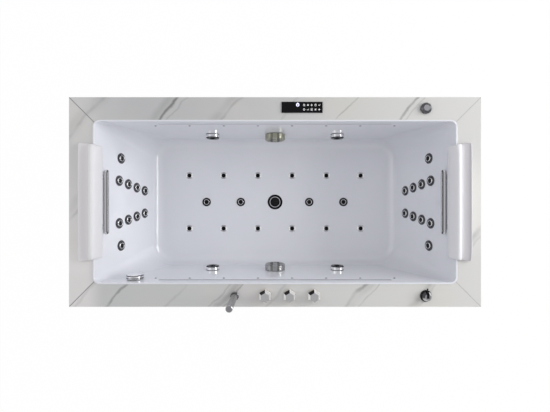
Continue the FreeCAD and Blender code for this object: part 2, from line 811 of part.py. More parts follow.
# ---- the deck and the aprons --------------------------------------------------------------------

def deck_tools():
    """Holes through the deck for its fittings, each with the running room of a drilled hole."""
    level = slab_bottom - slab_thickness
    through = slab_thickness * 3
    tools = [rod("valve_hole_%d" % index, valve_barrel + deck_hole_gap, through, (x, y, level))
             for index, (x, y) in enumerate(valve_spots)]
    tools.append(rod("mixer_hole", valve_barrel + deck_hole_gap, through, (mixer_x, -fitting_y, level)))
    tools.append(rod("air_control_hole", valve_barrel + deck_hole_gap, through,
                     (air_control_x, air_control_y, level)))
    tools.append(rod("holder_hole", holder_barrel + deck_hole_gap, through,
                     (-shower_x, -fitting_y, level)))
    reach_x, reach_y = panel_box_length / 2 + deck_hole_gap, panel_box_width / 2 + deck_hole_gap
    tools.append(block("panel_hole", (panel_x - reach_x, panel_x + reach_x),
                       (panel_y - reach_y, panel_y + reach_y), (level, level + through)))
    return gather("deck_holes", tools)


def make_deck_slabs():
    """Four slabs of marble-look deck, mitred at the corners round the basin's opening."""
    half_x, half_y = bath_length / 2, bath_width / 2
    plate = new_body("deck_plate")
    pad(plate, rounded_rectangle(sketch_on(plate, "XY_Plane", slab_bottom), half_x, half_y, slab_joint * 3),
        slab_thickness)
    opening = new_body("deck_opening")
    pad(opening, rounded_rectangle(sketch_on(opening, "XY_Plane", slab_bottom - slab_thickness),
                                   opening_length / 2, opening_width / 2, opening_corner),
        slab_thickness * 3)
    pierced = cut("deck_ring", cut("deck_blank", plate, opening), deck_tools())
    gap = slab_joint / 2
    inner_x = half_x - half_y
    sides = {
        "back": [(-inner_x, 0), (inner_x - gap, 0), (half_x - gap, half_y), (gap - half_x, half_y)],
        "right": [(inner_x + gap, 0), (half_x + gap, -half_y), (half_x + gap, half_y)],
        "front": [(gap - inner_x, 0), (gap - half_x, -half_y), (half_x - gap, -half_y), (inner_x, 0)],
        "left": [(-inner_x - gap, 0), (-half_x - gap, half_y), (-half_x - gap, -half_y)],
    }
    for side, corners in sides.items():
        wedge = new_body("deck_wedge_" + side)
        pad(wedge, outline(sketch_on(wedge, "XY_Plane", slab_bottom - slab_thickness), corners),
            slab_thickness * 3)
        slab = doc.addObject("Part::Common", "deck_slab_" + side)
        slab.Base = pierced
        slab.Tool = wedge
        node(slab, "deck_slab_" + side)


def make_aprons():
    """Four upright panels under the deck, set back from its edge."""
    inner_x, inner_y = apron_outer_x - apron_thickness, apron_outer_y - apron_thickness
    levels = (apron_floor_gap, slab_bottom)
    node(block("apron_front", (-apron_outer_x, apron_outer_x), (-apron_outer_y, -inner_y), levels),
         "apron_front")
    node(block("apron_back", (-apron_outer_x, apron_outer_x), (inner_y, apron_outer_y), levels),
         "apron_back")
    node(block("apron_left", (-apron_outer_x, -inner_x), (-inner_y, inner_y), levels), "apron_left")
    node(block("apron_right", (inner_x, apron_outer_x), (-inner_y, inner_y), levels), "apron_right")


# ---- the steel frame and its feet ---------------------------------------------------------------

def make_steel_frame():
    """One welded frame: two rings of rail, eight posts, four floor cradles and two end shelves."""
    rail_inner = frame_half_width - tube_width
    end_inner = frame_half_length - tube_width
    parts = []
    for ring, low in (("lower", frame_bottom), ("upper", flange_bottom - tube_width)):
        levels = (low, low + tube_width)
        for side in (1, -1):
            ends = sorted((side * rail_inner, side * frame_half_width), key=number)
            parts.append(block("%s_rail" % ring, (-frame_half_length, frame_half_length), ends, levels))
            ends = sorted((side * end_inner, side * frame_half_length), key=number)
            parts.append(block("%s_end_rail" % ring, ends, (-rail_inner, rail_inner), levels))
    for along in (-end_post_x, -inner_post_x, inner_post_x, end_post_x):
        for side in (1, -1):
            ends = sorted((side * frame_half_width, side * (frame_half_width + post_width)), key=number)
            parts.append(block("post", (along - post_width / 2, along + post_width / 2), ends,
                               (frame_bottom, slab_bottom)))
    for along in (-cradle_outer_x, -cradle_inner_x, cradle_inner_x, cradle_outer_x):
        width = (along - cradle_width / 2, along + cradle_width / 2)
        leg_inner = rail_inner - tube_width
        parts.append(block("cradle_bar", width, (-rail_inner, rail_inner),
                           (floor_under - tube_width, floor_under)))
        for side in (1, -1):
            ends = sorted((side * leg_inner, side * rail_inner), key=number)
            parts.append(block("cradle_leg", width, ends, (frame_bottom, floor_under)))
    for side in (1, -1):
        ends = sorted((side * (shelf_rail_x - tube_width / 2), side * (shelf_rail_x + tube_width / 2)),
                      key=number)
        parts.append(block("shelf_rail", ends, (-rail_inner, rail_inner), (frame_bottom, shelf_bottom)))
        ends = sorted((side * (shelf_rail_x - tube_width / 2), side * frame_half_length), key=number)
        parts.append(block("shelf_plate", ends, (-shelf_half_width, shelf_half_width),
                           (shelf_bottom, shelf_top)))
    node(fuse("steel_frame", parts), "steel_frame")


def make_feet():
    """Levelling feet that screw up under the posts, each locked by its own nut."""
    post_y = frame_half_width + post_width / 2
    spots = [(along, side * post_y, 0) for side in (1, -1)
             for along in (-end_post_x, -inner_post_x, inner_post_x, end_post_x)]
    foot = turned("levelling_foot", [
        (0, 0), (foot_pad_radius, 0), (foot_pad_radius, foot_pad_height / 2),
        (foot_neck_radius, foot_pad_height), (foot_stud_radius, foot_pad_height),
        (foot_stud_radius, frame_bottom), (0, frame_bottom)])
    node(copies("levelling_feet", foot, spots), "levelling_feet")
    lock = nut("lock_nut", lock_nut_width, lock_nut_height, foot_stud_radius + running_gap)
    return copies("foot_lock_nuts", lock, [(x, y, frame_bottom - lock_nut_height) for x, y, z in spots])


# ---- the head pillows and the grab bars ---------------------------------------------------------

def make_pillows():
    """A saddle-shaped head pillow at each end: it lies on the deck and hooks over the tub's lip."""
    body = new_body("pillow")
    deck_face = deck_height
    lip_face = lip_top + pillow_gap
    tip_level = deck_height - pillow_drop
    heel_level = tip_level - pillow_round / 4
    wall_gap = pillow_gap / cosine(backrest_slope)
    ridge_x = (pillow_inner_x + opening_length / 2) / 2
    crown = deck_height + pillow_rise
    section = [
        (opening_length / 2 + pillow_gap * 4, deck_face), (pillow_outer_x, deck_face, pillow_round / 4),
        (pillow_outer_x - pillow_round / 2, deck_height + pillow_heel_rise, pillow_heel_bow),
        (ridge_x, crown, pillow_crown_bow),
        (pillow_inner_x, tip_level, pillow_round / 4),
        (end_wall_x(heel_level) - wall_gap, heel_level),
        (rim_half_length - wall_gap, lip_face), (opening_length / 2 + pillow_gap * 4, lip_face),
    ]
    pad(body, outline(sketch_on(body, "XZ_Plane"), section), pillow_length * 2, midplane=True)

    quarter = 1 - math.sqrt(0.5)
    outer_y, inner_y = pillow_length / 2 + pillow_flare, pillow_length / 2 - pillow_flare
    tail_x = pillow_inner_x - pillow_round
    plan = new_body("pillow_plan")
    pad(plan, outline(sketch_on(plan, "XY_Plane", tip_level - pillow_rise), [
        (tail_x, -inner_y), (pillow_outer_x - pillow_round, -outer_y, pillow_round * quarter),
        (pillow_outer_x, pillow_round - outer_y), (pillow_outer_x, outer_y - pillow_round,
                                                   pillow_round * quarter),
        (pillow_outer_x - pillow_round, outer_y), (tail_x, inner_y)]), pillow_rise * 3)
    end_y = outer_y + pillow_gap * 2
    ends = new_body("pillow_ends")
    pad(ends, outline(sketch_on(ends, "YZ_Plane"), [
        (-end_y, tip_level - pillow_rise), (end_y, tip_level - pillow_rise),
        (end_y, crown - pillow_end_round, pillow_end_round * quarter),
        (end_y - pillow_end_round, crown + pillow_gap), (pillow_end_round - end_y, crown + pillow_gap,
                                                         pillow_end_round * quarter),
        (-end_y, crown - pillow_end_round)]), pillow_outer_x * 3, midplane=True)
    trimmed = doc.addObject("Part::Common", "pillow_trimmed")
    trimmed.Base, trimmed.Tool = body, plan
    pillow = doc.addObject("Part::Common", "pillow_shaped")
    pillow.Base, pillow.Tool = trimmed, ends
    node(copies("pillow_right", pillow, [(0, 0, 0)]), "pillow_right")
    node(copies("pillow_left", pillow, [half_turn_about_z]), "pillow_left")


def make_grab_bars():
    """A round-ended bar on two posts below each pillow, with studs and nuts through the shell."""
    half = bar_length / 2 - bar_radius
    parts = [rod("bar_grip", bar_radius, half * 2, (0, half, bar_standoff, X_AXIS, 90))]
    for side in (1, -1):
        end = doc.addObject("Part::Sphere", "bar_end")
        bind(end, "Radius", bar_radius)
        parts.append(place(end, (0, side * half, bar_standoff)))
        parts.append(rod("bar_post", bar_post_radius, bar_standoff, (0, side * bar_post_y, 0)))
        parts.append(rod("bar_rose", bar_rose_radius, bar_rose_height, (0, side * bar_post_y, 0)))
        parts.append(rod("bar_stud", bar_stud_radius, bar_stud_length + bar_standoff,
                         (0, side * bar_post_y, -bar_stud_length)))
    bar = fuse("grab_bar", parts)
    for side, name in ((1, "grab_bar_right"), (-1, "grab_bar_left")):
        node(copies(name, bar, [on_backrest(side, bar_depth, 0)]), name)
    stud_nut = nut("bar_nut", bar_nut_width, bar_nut_height, bar_stud_radius + running_gap)
    place(stud_nut, (0, 0, -shell_wall - bar_nut_height))
    return copies("grab_bar_nuts", stud_nut, bar_stud_spots)


# ---- jets, nozzles and inlets -------------------------------------------------------------------

def make_back_and_floor_jets():
    """Small fixed jets: a black body through the shell, chrome trim rings in front, a nut behind."""
    bore_floor = -jet_nut_height
    barrel = [(0, -jet_tail_length), (jet_tail_radius, -jet_tail_length),
              (jet_tail_radius, -jet_barrel_length), (jet_barrel, -jet_barrel_length), (jet_barrel, 0)]
    back_body = turned("back_jet_body", barrel + [
        (jet_rim_inner - running_gap, 0), (jet_rim_inner - running_gap, jet_face_height),
        (jet_nose_neck + running_gap, jet_face_height), (jet_nose_neck + running_gap, bore_floor),
        (0, bore_floor)])
    node(copies("back_jet_bodies", back_body, back_jet_spots), "back_jet_bodies")

    floor_body = turned("floor_jet_body", barrel + [
        (floor_jet_radius, 0), (floor_jet_radius, jet_face_height),
        (floor_jet_radius - jet_face_height, floor_jet_height),
        (floor_jet_ring + running_gap, floor_jet_height),
        (floor_jet_ring + running_gap, jet_face_height / 2),
        (jet_nose_bore, jet_face_height / 2), (jet_nose_bore, bore_floor), (0, bore_floor)])
    node(copies("floor_jet_bodies", floor_body, floor_jet_spots), "floor_jet_bodies")

    rim = turned("jet_rim", [
        (jet_rim_inner, 0), (jet_rim_radius, 0), (jet_rim_radius, jet_rim_height / 2),
        (jet_rim_radius - jet_rim_height / 2, jet_rim_height), (jet_rim_inner, jet_rim_height)])
    nose = turned("jet_nose", [
        (jet_nose_bore, bore_floor + face_gap), (jet_nose_neck, bore_floor + face_gap),
        (jet_nose_neck, jet_face_height), (jet_nose_radius, jet_face_height),
        (jet_nose_radius, jet_rim_height), (jet_nose_neck, jet_nose_height),
        (jet_nose_bore, jet_nose_height)])
    floor_ring = turned("floor_jet_trim", [
        (floor_jet_ring_bore, jet_face_height / 2), (floor_jet_ring, jet_face_height / 2),
        (floor_jet_ring, floor_jet_height), (floor_jet_ring_bore, floor_jet_crown)])
    trims = [copies("rims", rim, back_jet_spots), copies("noses", nose, back_jet_spots),
             copies("floor_rings", floor_ring, floor_jet_spots)]
    node(gather("jet_trim_rings", trims), "jet_trim_rings")

    back_nut = turned("jet_nut", [
        (jet_barrel + running_gap, -shell_wall - jet_nut_height),
        (jet_nut_radius, -shell_wall - jet_nut_height),
        (jet_nut_radius, -shell_wall), (jet_barrel + running_gap, -shell_wall)])
    node(copies("jet_nuts", back_nut, back_jet_spots + floor_jet_spots), "jet_nuts")


def make_air_nozzles():
    """Chrome air nozzles in the floor and pin-sized ones along the side walls."""
    nozzle = turned("air_nozzle", [
        (0, -air_nozzle_tail), (air_nozzle_tail_radius, -air_nozzle_tail),
        (air_nozzle_tail_radius, -air_nozzle_barrel_length),
        (air_nozzle_barrel, -air_nozzle_barrel_length), (air_nozzle_barrel, 0),
        (air_nozzle_radius, 0), (air_nozzle_radius, air_nozzle_height / 2),
        (air_nozzle_radius - air_nozzle_height / 2, air_nozzle_height),
        (air_nozzle_bore, air_nozzle_height), (air_nozzle_bore, -air_nozzle_bore_depth),
        (0, -air_nozzle_bore_depth)])
    node(copies("floor_air_nozzles", nozzle, air_nozzle_spots), "floor_air_nozzles")
    small = turned("wall_nozzle", [
        (0, -wall_nozzle_tail), (wall_nozzle_barrel, -wall_nozzle_tail), (wall_nozzle_barrel, 0),
        (wall_nozzle_radius, 0), (wall_nozzle_radius, wall_nozzle_height / 2),
        (wall_nozzle_barrel, wall_nozzle_height), (wall_nozzle_bore, wall_nozzle_height),
        (wall_nozzle_bore, -wall_nozzle_barrel), (0, -wall_nozzle_barrel)])
    node(copies("wall_air_nozzles", small, wall_nozzle_spots), "wall_air_nozzles")


def make_side_jets():
    """Adjustable side jets: a body with a water chamber, a bezel that turns and a ball that tilts."""
    body = turned("side_jet_body", [
        (0, -side_jet_tail), (side_jet_barrel, -side_jet_tail), (side_jet_barrel, 0),
        (side_jet_flange, 0), (side_jet_flange, jet_face_height), (side_jet_collar, jet_face_height),
        (side_jet_collar, side_jet_collar_height), (side_jet_cavity, side_jet_collar_height),
        (side_jet_cavity, -side_jet_tail / 2), (0, -side_jet_tail / 2)])
    level = deck_height - side_fitting_depth
    ports = []
    for name, (side, end) in side_jet_places.items():
        chamber = copies("chamber_" + name, body, [on_side_wall(side, end * side_jet_x, side_fitting_depth)])
        port = rod("jet_port_" + name, branch_radius, port_top - level,
                   (end * side_jet_x, side * ring_pipe_y, level))
        ports.append(fuse("side_jet_body_" + name, [chamber, port]))
    node(gather("side_jet_bodies", ports), "side_jet_bodies")

    lip = bezel_height - side_jet_collar_height - face_gap
    bezel = turned("bezel", [
        (side_jet_collar + running_gap, jet_face_height + face_gap),
        (bezel_radius, jet_face_height + face_gap), (bezel_radius, bezel_height - lip / 2),
        (bezel_radius - lip / 2, bezel_height), (bezel_mouth, bezel_height),
        (bezel_mouth, bezel_height - lip), (side_jet_collar + running_gap, bezel_height - lip)])
    sphere = doc.addObject("Part::Sphere", "jet_ball")
    bind(sphere, "Radius", ball_radius)
    place(sphere, (0, 0, ball_depth))
    nose = rod("ball_nose", ball_nose_radius, ball_nose_reach, (0, 0, ball_depth))
    bore = rod("ball_drill", ball_bore, ball_radius * 2 + ball_nose_reach,
               (0, 0, ball_depth - ball_radius * 2))
    ball = cut("eyeball", fuse("ball_with_nose", [sphere, nose]), bore)
    for name, (side, end) in side_jet_places.items():
        spot = on_side_wall(side, end * side_jet_x, side_fitting_depth)
        node(copies("side_jet_bezel_" + name, bezel, [spot]), "side_jet_bezel_" + name)
        node(copies("side_jet_eyeball_" + name, ball, [spot]),
             "side_jet_eyeball_" + name)


def make_suction_inlets():
    """The pump draws through a slotted cover on each long wall."""
    body = turned("suction_body", [
        (0, -side_jet_tail), (suction_barrel, -side_jet_tail), (suction_barrel, 0),
        (suction_flange, 0), (suction_flange, jet_face_height), (suction_pipe_radius, jet_face_height),
        (suction_pipe_radius, -side_jet_tail / 2), (0, -side_jet_tail / 2)])
    level = deck_height - side_fitting_depth
    ported = []
    for side in (1, -1):
        chamber = copies("suction_chamber", body, [on_side_wall(side, 0, side_fitting_depth)])
        port = rod("suction_port", suction_pipe_radius, level - suction_port_end,
                   (0, side * suction_port_y, suction_port_end))
        ported.append(fuse("suction_body_ported", [chamber, port]))
    node(gather("suction_bodies", ported), "suction_bodies")

    cap = turned("suction_cap", [
        (0, suction_height - jet_rim_height), (suction_flange, suction_height - jet_rim_height),
        (suction_flange, jet_face_height), (suction_radius, jet_face_height),
        (suction_radius, suction_height - jet_rim_height),
        (suction_radius - jet_rim_height, suction_height),
        (0, suction_height)])
    slot = block("suction_slot", (suction_slot_start, suction_flange - jet_rim_height),
                 (-suction_slot_width / 2, suction_slot_width / 2),
                 (suction_height - jet_rim_height * 2, suction_height + jet_rim_height))
    slots = copies("suction_slots", slot, [(0, 0, 0, Z_AXIS, 30 * turn) for turn in range(12)])
    cover = cut("suction_cover", cap, slots)
    node(copies("suction_covers", cover, suction_spots), "suction_covers")


# ---- waste and overflow -------------------------------------------------------------------------

def make_waste():
    """The waste in the middle of the floor, with a pop-up plug that a stem guides."""
    outlet_level = floor_top - waste_drop
    guide = plug_guide - plug_stem
    seat = waste_bore + plug_gap
    shell = turned("waste_cup", [
        (waste_bore - guide, -waste_drop), (waste_barrel, -waste_drop), (waste_barrel, 0),
        (waste_flange, 0), (waste_flange, jet_face_height / 2),
        (waste_flange - jet_rim_height, jet_rim_height), (seat, jet_rim_height),
        (seat, -jet_nut_height), (waste_bore - guide, -jet_nut_height)])
    spider = turned("waste_spider", [
        (plug_stem + running_gap, -spider_bottom), (plug_guide, -spider_bottom),
        (plug_guide, -spider_top), (plug_stem + running_gap, -spider_top)])
    arms = []
    for turn in range(3):
        arm = block("spider_arm", (plug_guide - guide / 2, waste_bore), (-guide / 4, guide / 4),
                    (-spider_bottom, -spider_top))
        arms.append(copies("spider_arm_turned", arm, [(0, 0, 0, Z_AXIS, 120 * turn)]))
    body = fuse("waste_parts", [shell, spider] + arms)
    node(copies("waste_body", body, [on_floor(0, 0)]), "waste_body")
    plug = turned("plug", [
        (0, -plug_stem_drop), (plug_stem, -plug_stem_drop),
        (plug_stem, -jet_nut_height + face_gap), (plug_radius, -jet_nut_height + face_gap),
        (plug_radius, jet_rim_height / 2), (plug_radius - jet_rim_height, jet_rim_height + face_gap * 2),
        (0, jet_rim_height + face_gap * 3)])
    node(copies("drain_plug", plug, [on_floor(0, 0)]), "drain_plug")

    bend = waste_pipe_bend
    outlet_foot = waste_outlet_end + waste_outlet_length
    pipe = plumbing("waste_pipe", [
        ([(0, 0, outlet_level), (0, 0, waste_outlet_end)], waste_outlet_radius, bend),
        ([(-overflow_x, -overflow_pipe_y, overflow_bottom),
          (-overflow_x, -overflow_pipe_y, waste_pipe_level),
          (-overflow_x, 0, waste_pipe_level), (0, 0, waste_pipe_level)], waste_pipe_radius, bend),
    ], sleeves=[([(0, 0, outlet_level), (0, 0, outlet_foot)], waste_tee_radius, bend)])
    node(pipe, "waste_pipe")


def make_overflow():
    """The overflow on the front wall; its round cover turns to lift the plug."""
    body = turned("overflow_cup", [
        (0, -overflow_tail), (overflow_barrel, -overflow_tail), (overflow_barrel, 0),
        (overflow_flange, 0), (overflow_flange, jet_rim_height),
        (overflow_spindle + running_gap, jet_rim_height),
        (overflow_spindle + running_gap, -overflow_barrel), (0, -overflow_barrel)])
    chamber = copies("overflow_chamber", body, [overflow_spot])
    port = rod("overflow_port", waste_pipe_radius, overflow_port_drop,
               (-overflow_x, -overflow_pipe_y, overflow_bottom))
    node(fuse("overflow_body", [chamber, port]), "overflow_body")
    knob = turned("overflow_cover", [
        (0, -overflow_barrel + face_gap), (overflow_spindle, -overflow_barrel + face_gap),
        (overflow_spindle, jet_rim_height + face_gap), (overflow_knob_radius, jet_rim_height + face_gap),
        (overflow_knob_radius, overflow_knob_height - jet_rim_height),
        (overflow_knob_radius - jet_rim_height, overflow_knob_height), (0, overflow_knob_height)])
    node(copies("overflow_knob", knob, [overflow_spot]), "overflow_knob")


# ---- deck fittings ------------------------------------------------------------------------------

def hexagon(sketch, radius):
    """A regular hexagon about the sketch's origin, with one corner towards its top."""
    turns = [math.radians(60 * step + 90) for step in range(6)]
    return outline(sketch, [(radius * math.cos(turn), radius * math.sin(turn)) for turn in turns])


def make_valves():
    """Three deck valves in a row, joined by a brass gallery, with faceted knobs on their spindles."""
    top = deck_height + valve_rose_height
    parts = []
    for index, (x, y) in enumerate(valve_spots):
        parts.append(rod("valve_barrel_%d" % index, valve_barrel, top - (slab_bottom - valve_drop),
                         (x, y, slab_bottom - valve_drop)))
        parts.append(rod("valve_rose_%d" % index, valve_rose, valve_rose_height, (x, y, deck_height)))
        parts.append(rod("valve_spindle_%d" % index, valve_spindle, valve_spindle_rise,
                         (x, y, deck_height)))
        if index != 1:
            parts.append(rod("valve_tail_%d" % index, valve_tail_radius, valve_tail_drop,
                             (x, y, slab_bottom - valve_tail_drop)))
    gallery_z = slab_bottom - valve_drop + valve_barrel
    parts.append(rod("valve_gallery", valve_tail_radius - pipe_wall, valve_pitch * 2,
                     (valve_first_x, -fitting_y, gallery_z, Y_AXIS, 90)))
    node(fuse("valve_bodies", parts), "valve_bodies")

    foot = valve_rose_height + face_gap
    for name, (x, y) in zip(("hot_knob", "diverter_knob", "cold_knob"), valve_spots):
        body = new_body(name + "_body")
        loft = body.newObject("PartDesign::AdditiveLoft", name + "_facets")
        loft.Profile = hexagon(sketch_on(body, "XY_Plane", foot + knob_skirt), knob_base)
        loft.Sections = [hexagon(sketch_on(body, "XY_Plane", knob_height), knob_top)]
        loft.Ruled = True
        skirt = sketch_on(body, "XY_Plane", foot)
        pad(body, hexagon(skirt, knob_base), knob_skirt)
        bore = rod(name + "_bore", valve_spindle + running_gap, valve_spindle_rise + face_gap * 2 - foot,
                   (0, 0, foot))
        knob = cut(name + "_bored", body, bore)
        node(copies(name, knob, [(x, y, deck_height)]), name)


def make_mixer():
    """A single-lever mixer: a rose on the deck, a cap that swivels and a lever that tilts."""
    barrel_foot = -slab_thickness - valve_drop
    rose = turned("mixer_rose", [
        (0, barrel_foot), (valve_barrel, barrel_foot), (valve_barrel, 0),
        (mixer_rose, 0), (mixer_rose, valve_rose_height / 2),
        (mixer_rose - valve_rose_height, mixer_rose_height), (valve_spindle, mixer_rose_height),
        (valve_spindle, mixer_pivot_rise), (0, mixer_pivot_rise)])
    node(copies("mixer_base", rose, [(mixer_x, -fitting_y, deck_height)]), "mixer_base")

    foot = mixer_rose_height + face_gap
    socket = valve_spindle + running_gap
    dome = turned("mixer_dome", [
        (socket, foot), (mixer_cap_radius, foot), (mixer_cap_radius, foot + mixer_cap_skirt),
        (mixer_cap_top, mixer_cap_height), (0, mixer_cap_height),
        (0, mixer_pivot_rise + face_gap), (socket, mixer_pivot_rise + face_gap)])
    slot_half = lever_root_width / 2 + face_gap
    slot_floor = lever_pivot_height - lever_root_radius - face_gap
    slot = block("lever_slot", (-slot_half, slot_half), (-lever_root_radius - face_gap, mixer_cap_radius * 2),
                 (slot_floor, mixer_cap_height * 2))
    pin_hole = rod("lever_pin_hole", lever_pin + running_gap, (lever_pin_reach + lever_pin) * 2,
                   (-lever_pin_reach - lever_pin, 0, lever_pivot_height, Y_AXIS, 90))
    cap = cut("mixer_cap_cut", dome, gather("mixer_cap_tools", [slot, pin_hole]))
    node(copies("mixer_cap", cap, [(mixer_x, -fitting_y, deck_height)]), "mixer_cap")

    root = rod("lever_root", lever_root_radius, lever_root_width,
               (-lever_root_width / 2, 0, lever_pivot_height, Y_AXIS, 90))
    pin = rod("lever_pin_rod", lever_pin, lever_pin_reach * 2,
              (-lever_pin_reach, 0, lever_pivot_height, Y_AXIS, 90))
    blade = new_body("lever_blade")
    half_root, half_tip = lever_root_width / 2, lever_tip_width / 2
    pad(blade, outline(sketch_on(blade, "XY_Plane", lever_pivot_height), [
        (-half_root, 0), (half_root, 0), (half_tip, mixer_cap_top), (half_tip, lever_reach),
        (-half_tip, lever_reach), (-half_tip, mixer_cap_top)]), lever_thickness)
    lever = fuse("lever_parts", [root, pin, blade])
    node(copies("mixer_lever", lever, [(mixer_x, -fitting_y, deck_height)]), "mixer_lever")


def make_air_control():
    """The air regulator on the back edge: a low round knob on its body."""
    barrel_foot = -slab_thickness - air_barrel_drop
    body = turned("air_control_barrel", [
        (0, barrel_foot), (valve_barrel, barrel_foot),
        (valve_barrel, 0), (air_rose, 0), (air_rose, jet_face_height),
        (valve_spindle, jet_face_height), (valve_spindle, air_spindle_rise), (0, air_spindle_rise)])
    spot = (air_control_x, air_control_y, deck_height)
    node(copies("air_control_body", body, [spot]), "air_control_body")
    foot = jet_face_height + face_gap
    knob = turned("air_knob", [
        (valve_spindle + running_gap, foot), (air_knob_radius, foot),
        (air_knob_radius, air_knob_height / 2), (air_knob_top, air_knob_height), (0, air_knob_height),
        (0, air_spindle_rise + face_gap), (valve_spindle + running_gap, air_spindle_rise + face_gap)])
    node(copies("air_control_knob", knob, [spot]), "air_control_knob")


def make_control_panel():
    """The touch panel: a glass plate on the deck over a sealed box."""
    half_x, half_y = panel_length / 2, panel_width / 2
    plate = block("panel_plate", (panel_x - half_x, panel_x + half_x), (panel_y - half_y, panel_y + half_y),
                  (deck_height, deck_height + panel_glass))
    half_x, half_y = panel_box_length / 2, panel_box_width / 2
    housing = block("panel_box", (panel_x - half_x, panel_x + half_x), (panel_y - half_y, panel_y + half_y),
                    (slab_bottom - panel_box_drop, deck_height))
    node(plate, "control_panel_glass")
    node(housing, "control_panel_box")


def make_hand_shower():
    """A stick hand shower that stands in a holder on the deck."""
    spot = (-shower_x, -fitting_y, deck_height)
    bore = shower_shank + running_gap
    holder = turned("shower_holder", [
        (bore, -holder_drop), (holder_barrel, -holder_drop), (holder_barrel, 0), (holder_radius, 0),
        (holder_radius, holder_rise - pipe_wall), (holder_radius - pipe_wall, holder_rise),
        (bore, holder_rise)])
    node(copies("hand_shower_holder", holder, [spot]), "hand_shower_holder")
    seat = holder_rise + face_gap
    stick = turned("shower_stick", [
        (0, -shower_shank_drop), (shower_shank, -shower_shank_drop), (shower_shank, seat),
        (shower_radius, seat), (shower_radius, shower_height - pipe_wall),
        (shower_radius - pipe_wall, shower_height), (0, shower_height)])
    node(copies("hand_shower", stick, [spot]), "hand_shower")


# ---- pump, blower, control box and pipes --------------------------------------------------------

def make_pump():
    """The circulation pump on the right shelf: motor, volute with its ports, and the impeller inside."""
    facing = (pump_x, motor_start_y, pump_axis_z, X_AXIS, 90)
    shaft_bore = shaft_radius + running_gap

    casing = turned("motor_casing", [
        (0, -motor_length), (motor_radius, -motor_length), (motor_radius, 0), (shaft_bore, 0),
        (shaft_bore, -shaft_length), (0, -shaft_length)])
    turned_casing = copies("motor_casing_turned", casing, [facing])
    foot_y = motor_start_y + (motor_length - motor_foot_length) / 2
    foot = block("motor_foot", (pump_x - motor_foot_width / 2, pump_x + motor_foot_width / 2),
                 (foot_y, foot_y + motor_foot_length), (shelf_top, pump_axis_z - motor_radius / 2))
    node(fuse("pump_motor", [turned_casing, foot]), "pump_motor")

    outer = turned("volute_outer", [
        (0, 0), (volute_radius, 0), (volute_radius, volute_width), (0, volute_width)])
    inner_radius = volute_radius - volute_wall
    inner = turned("volute_inner", [
        (0, -volute_wall), (shaft_bore + face_gap, -volute_wall), (shaft_bore + face_gap, volute_wall),
        (inner_radius, volute_wall), (inner_radius, volute_width - volute_wall),
        (pump_port_radius - volute_wall, volute_width - volute_wall),
        (pump_port_radius - volute_wall, volute_width * 2), (0, volute_width * 2)])
    inlet = rod("volute_inlet", pump_port_radius, pump_port_length + volute_wall,
                (0, 0, volute_width - volute_wall))
    solid = copies("volute_turned", fuse("volute_solid", [outer, inlet]), [facing])
    hollow = copies("volute_hollow", inner, [facing])
    middle_y = motor_start_y - volute_width / 2
    outlet = rod("volute_outlet", pump_outlet_radius, pump_outlet_top - pump_axis_z,
                 (ring_pipe_x, middle_y, pump_axis_z))
    bore = rod("volute_outlet_bore", pump_outlet_radius - pipe_wall, pump_outlet_top,
               (ring_pipe_x, middle_y, pump_axis_z))
    node(cut("pump_volute", fuse("volute_with_ports", [solid, outlet]),
             gather("volute_tools", [hollow, bore])), "pump_volute")

    gap = volute_wall + face_gap * 4
    wheel = turned("impeller_wheel", [
        (0, face_gap - shaft_length), (shaft_radius, face_gap - shaft_length), (shaft_radius, gap),
        (impeller_radius, gap), (impeller_radius, gap + pipe_wall),
        (shaft_radius * 2, gap + impeller_width / 2), (shaft_radius * 2, gap + impeller_width),
        (0, gap + impeller_width)])
    vane = block("impeller_vane", (shaft_radius, impeller_radius), (-pipe_wall / 2, pipe_wall / 2),
                 (gap, gap + impeller_width))
    vanes = copies("impeller_vanes", vane, [(0, 0, 0, Z_AXIS, 60 * turn) for turn in range(6)])
    wheel = fuse("impeller_parts", [wheel, vanes])
    node(copies("pump_impeller", wheel, [facing]), "pump_impeller")


def make_blower():
    """The air blower on the left shelf, with a port on each side for the air pipes."""
    spot = (-blower_x, 0, shelf_top)
    drum = turned("blower_drum", [
        (0, 0), (blower_radius, 0), (blower_radius, blower_shoulder),
        (blower_dome, blower_waist), (blower_radius / 2, blower_height), (0, blower_height)],
        rounds=[(blower_radius, blower_shoulder, volute_wall)])
    drum_set = copies("blower_drum_set", drum, [spot])
    port = rod("blower_port", air_pipe_radius + pipe_wall, blower_port_y * 2,
               (-blower_x, blower_port_y, air_pipe_z, X_AXIS, 90))
    node(fuse("air_blower", [drum_set, port]), "air_blower")


def make_control_box():
    """The electrical box on the right end rail, with a gland for its supply lead underneath."""
    half = control_box_length / 2
    box = block("control_case", (frame_half_length, frame_half_length + control_box_depth),
                (control_box_y - half, control_box_y + half),
                (flange_bottom - control_box_height, flange_bottom))
    gland = rod("control_gland", branch_radius, ring_pipe_radius,
                (frame_half_length + control_box_depth / 2, control_box_y,
                 flange_bottom - control_box_height - ring_pipe_radius))
    node(fuse("control_box", [box, gland]), "control_box")


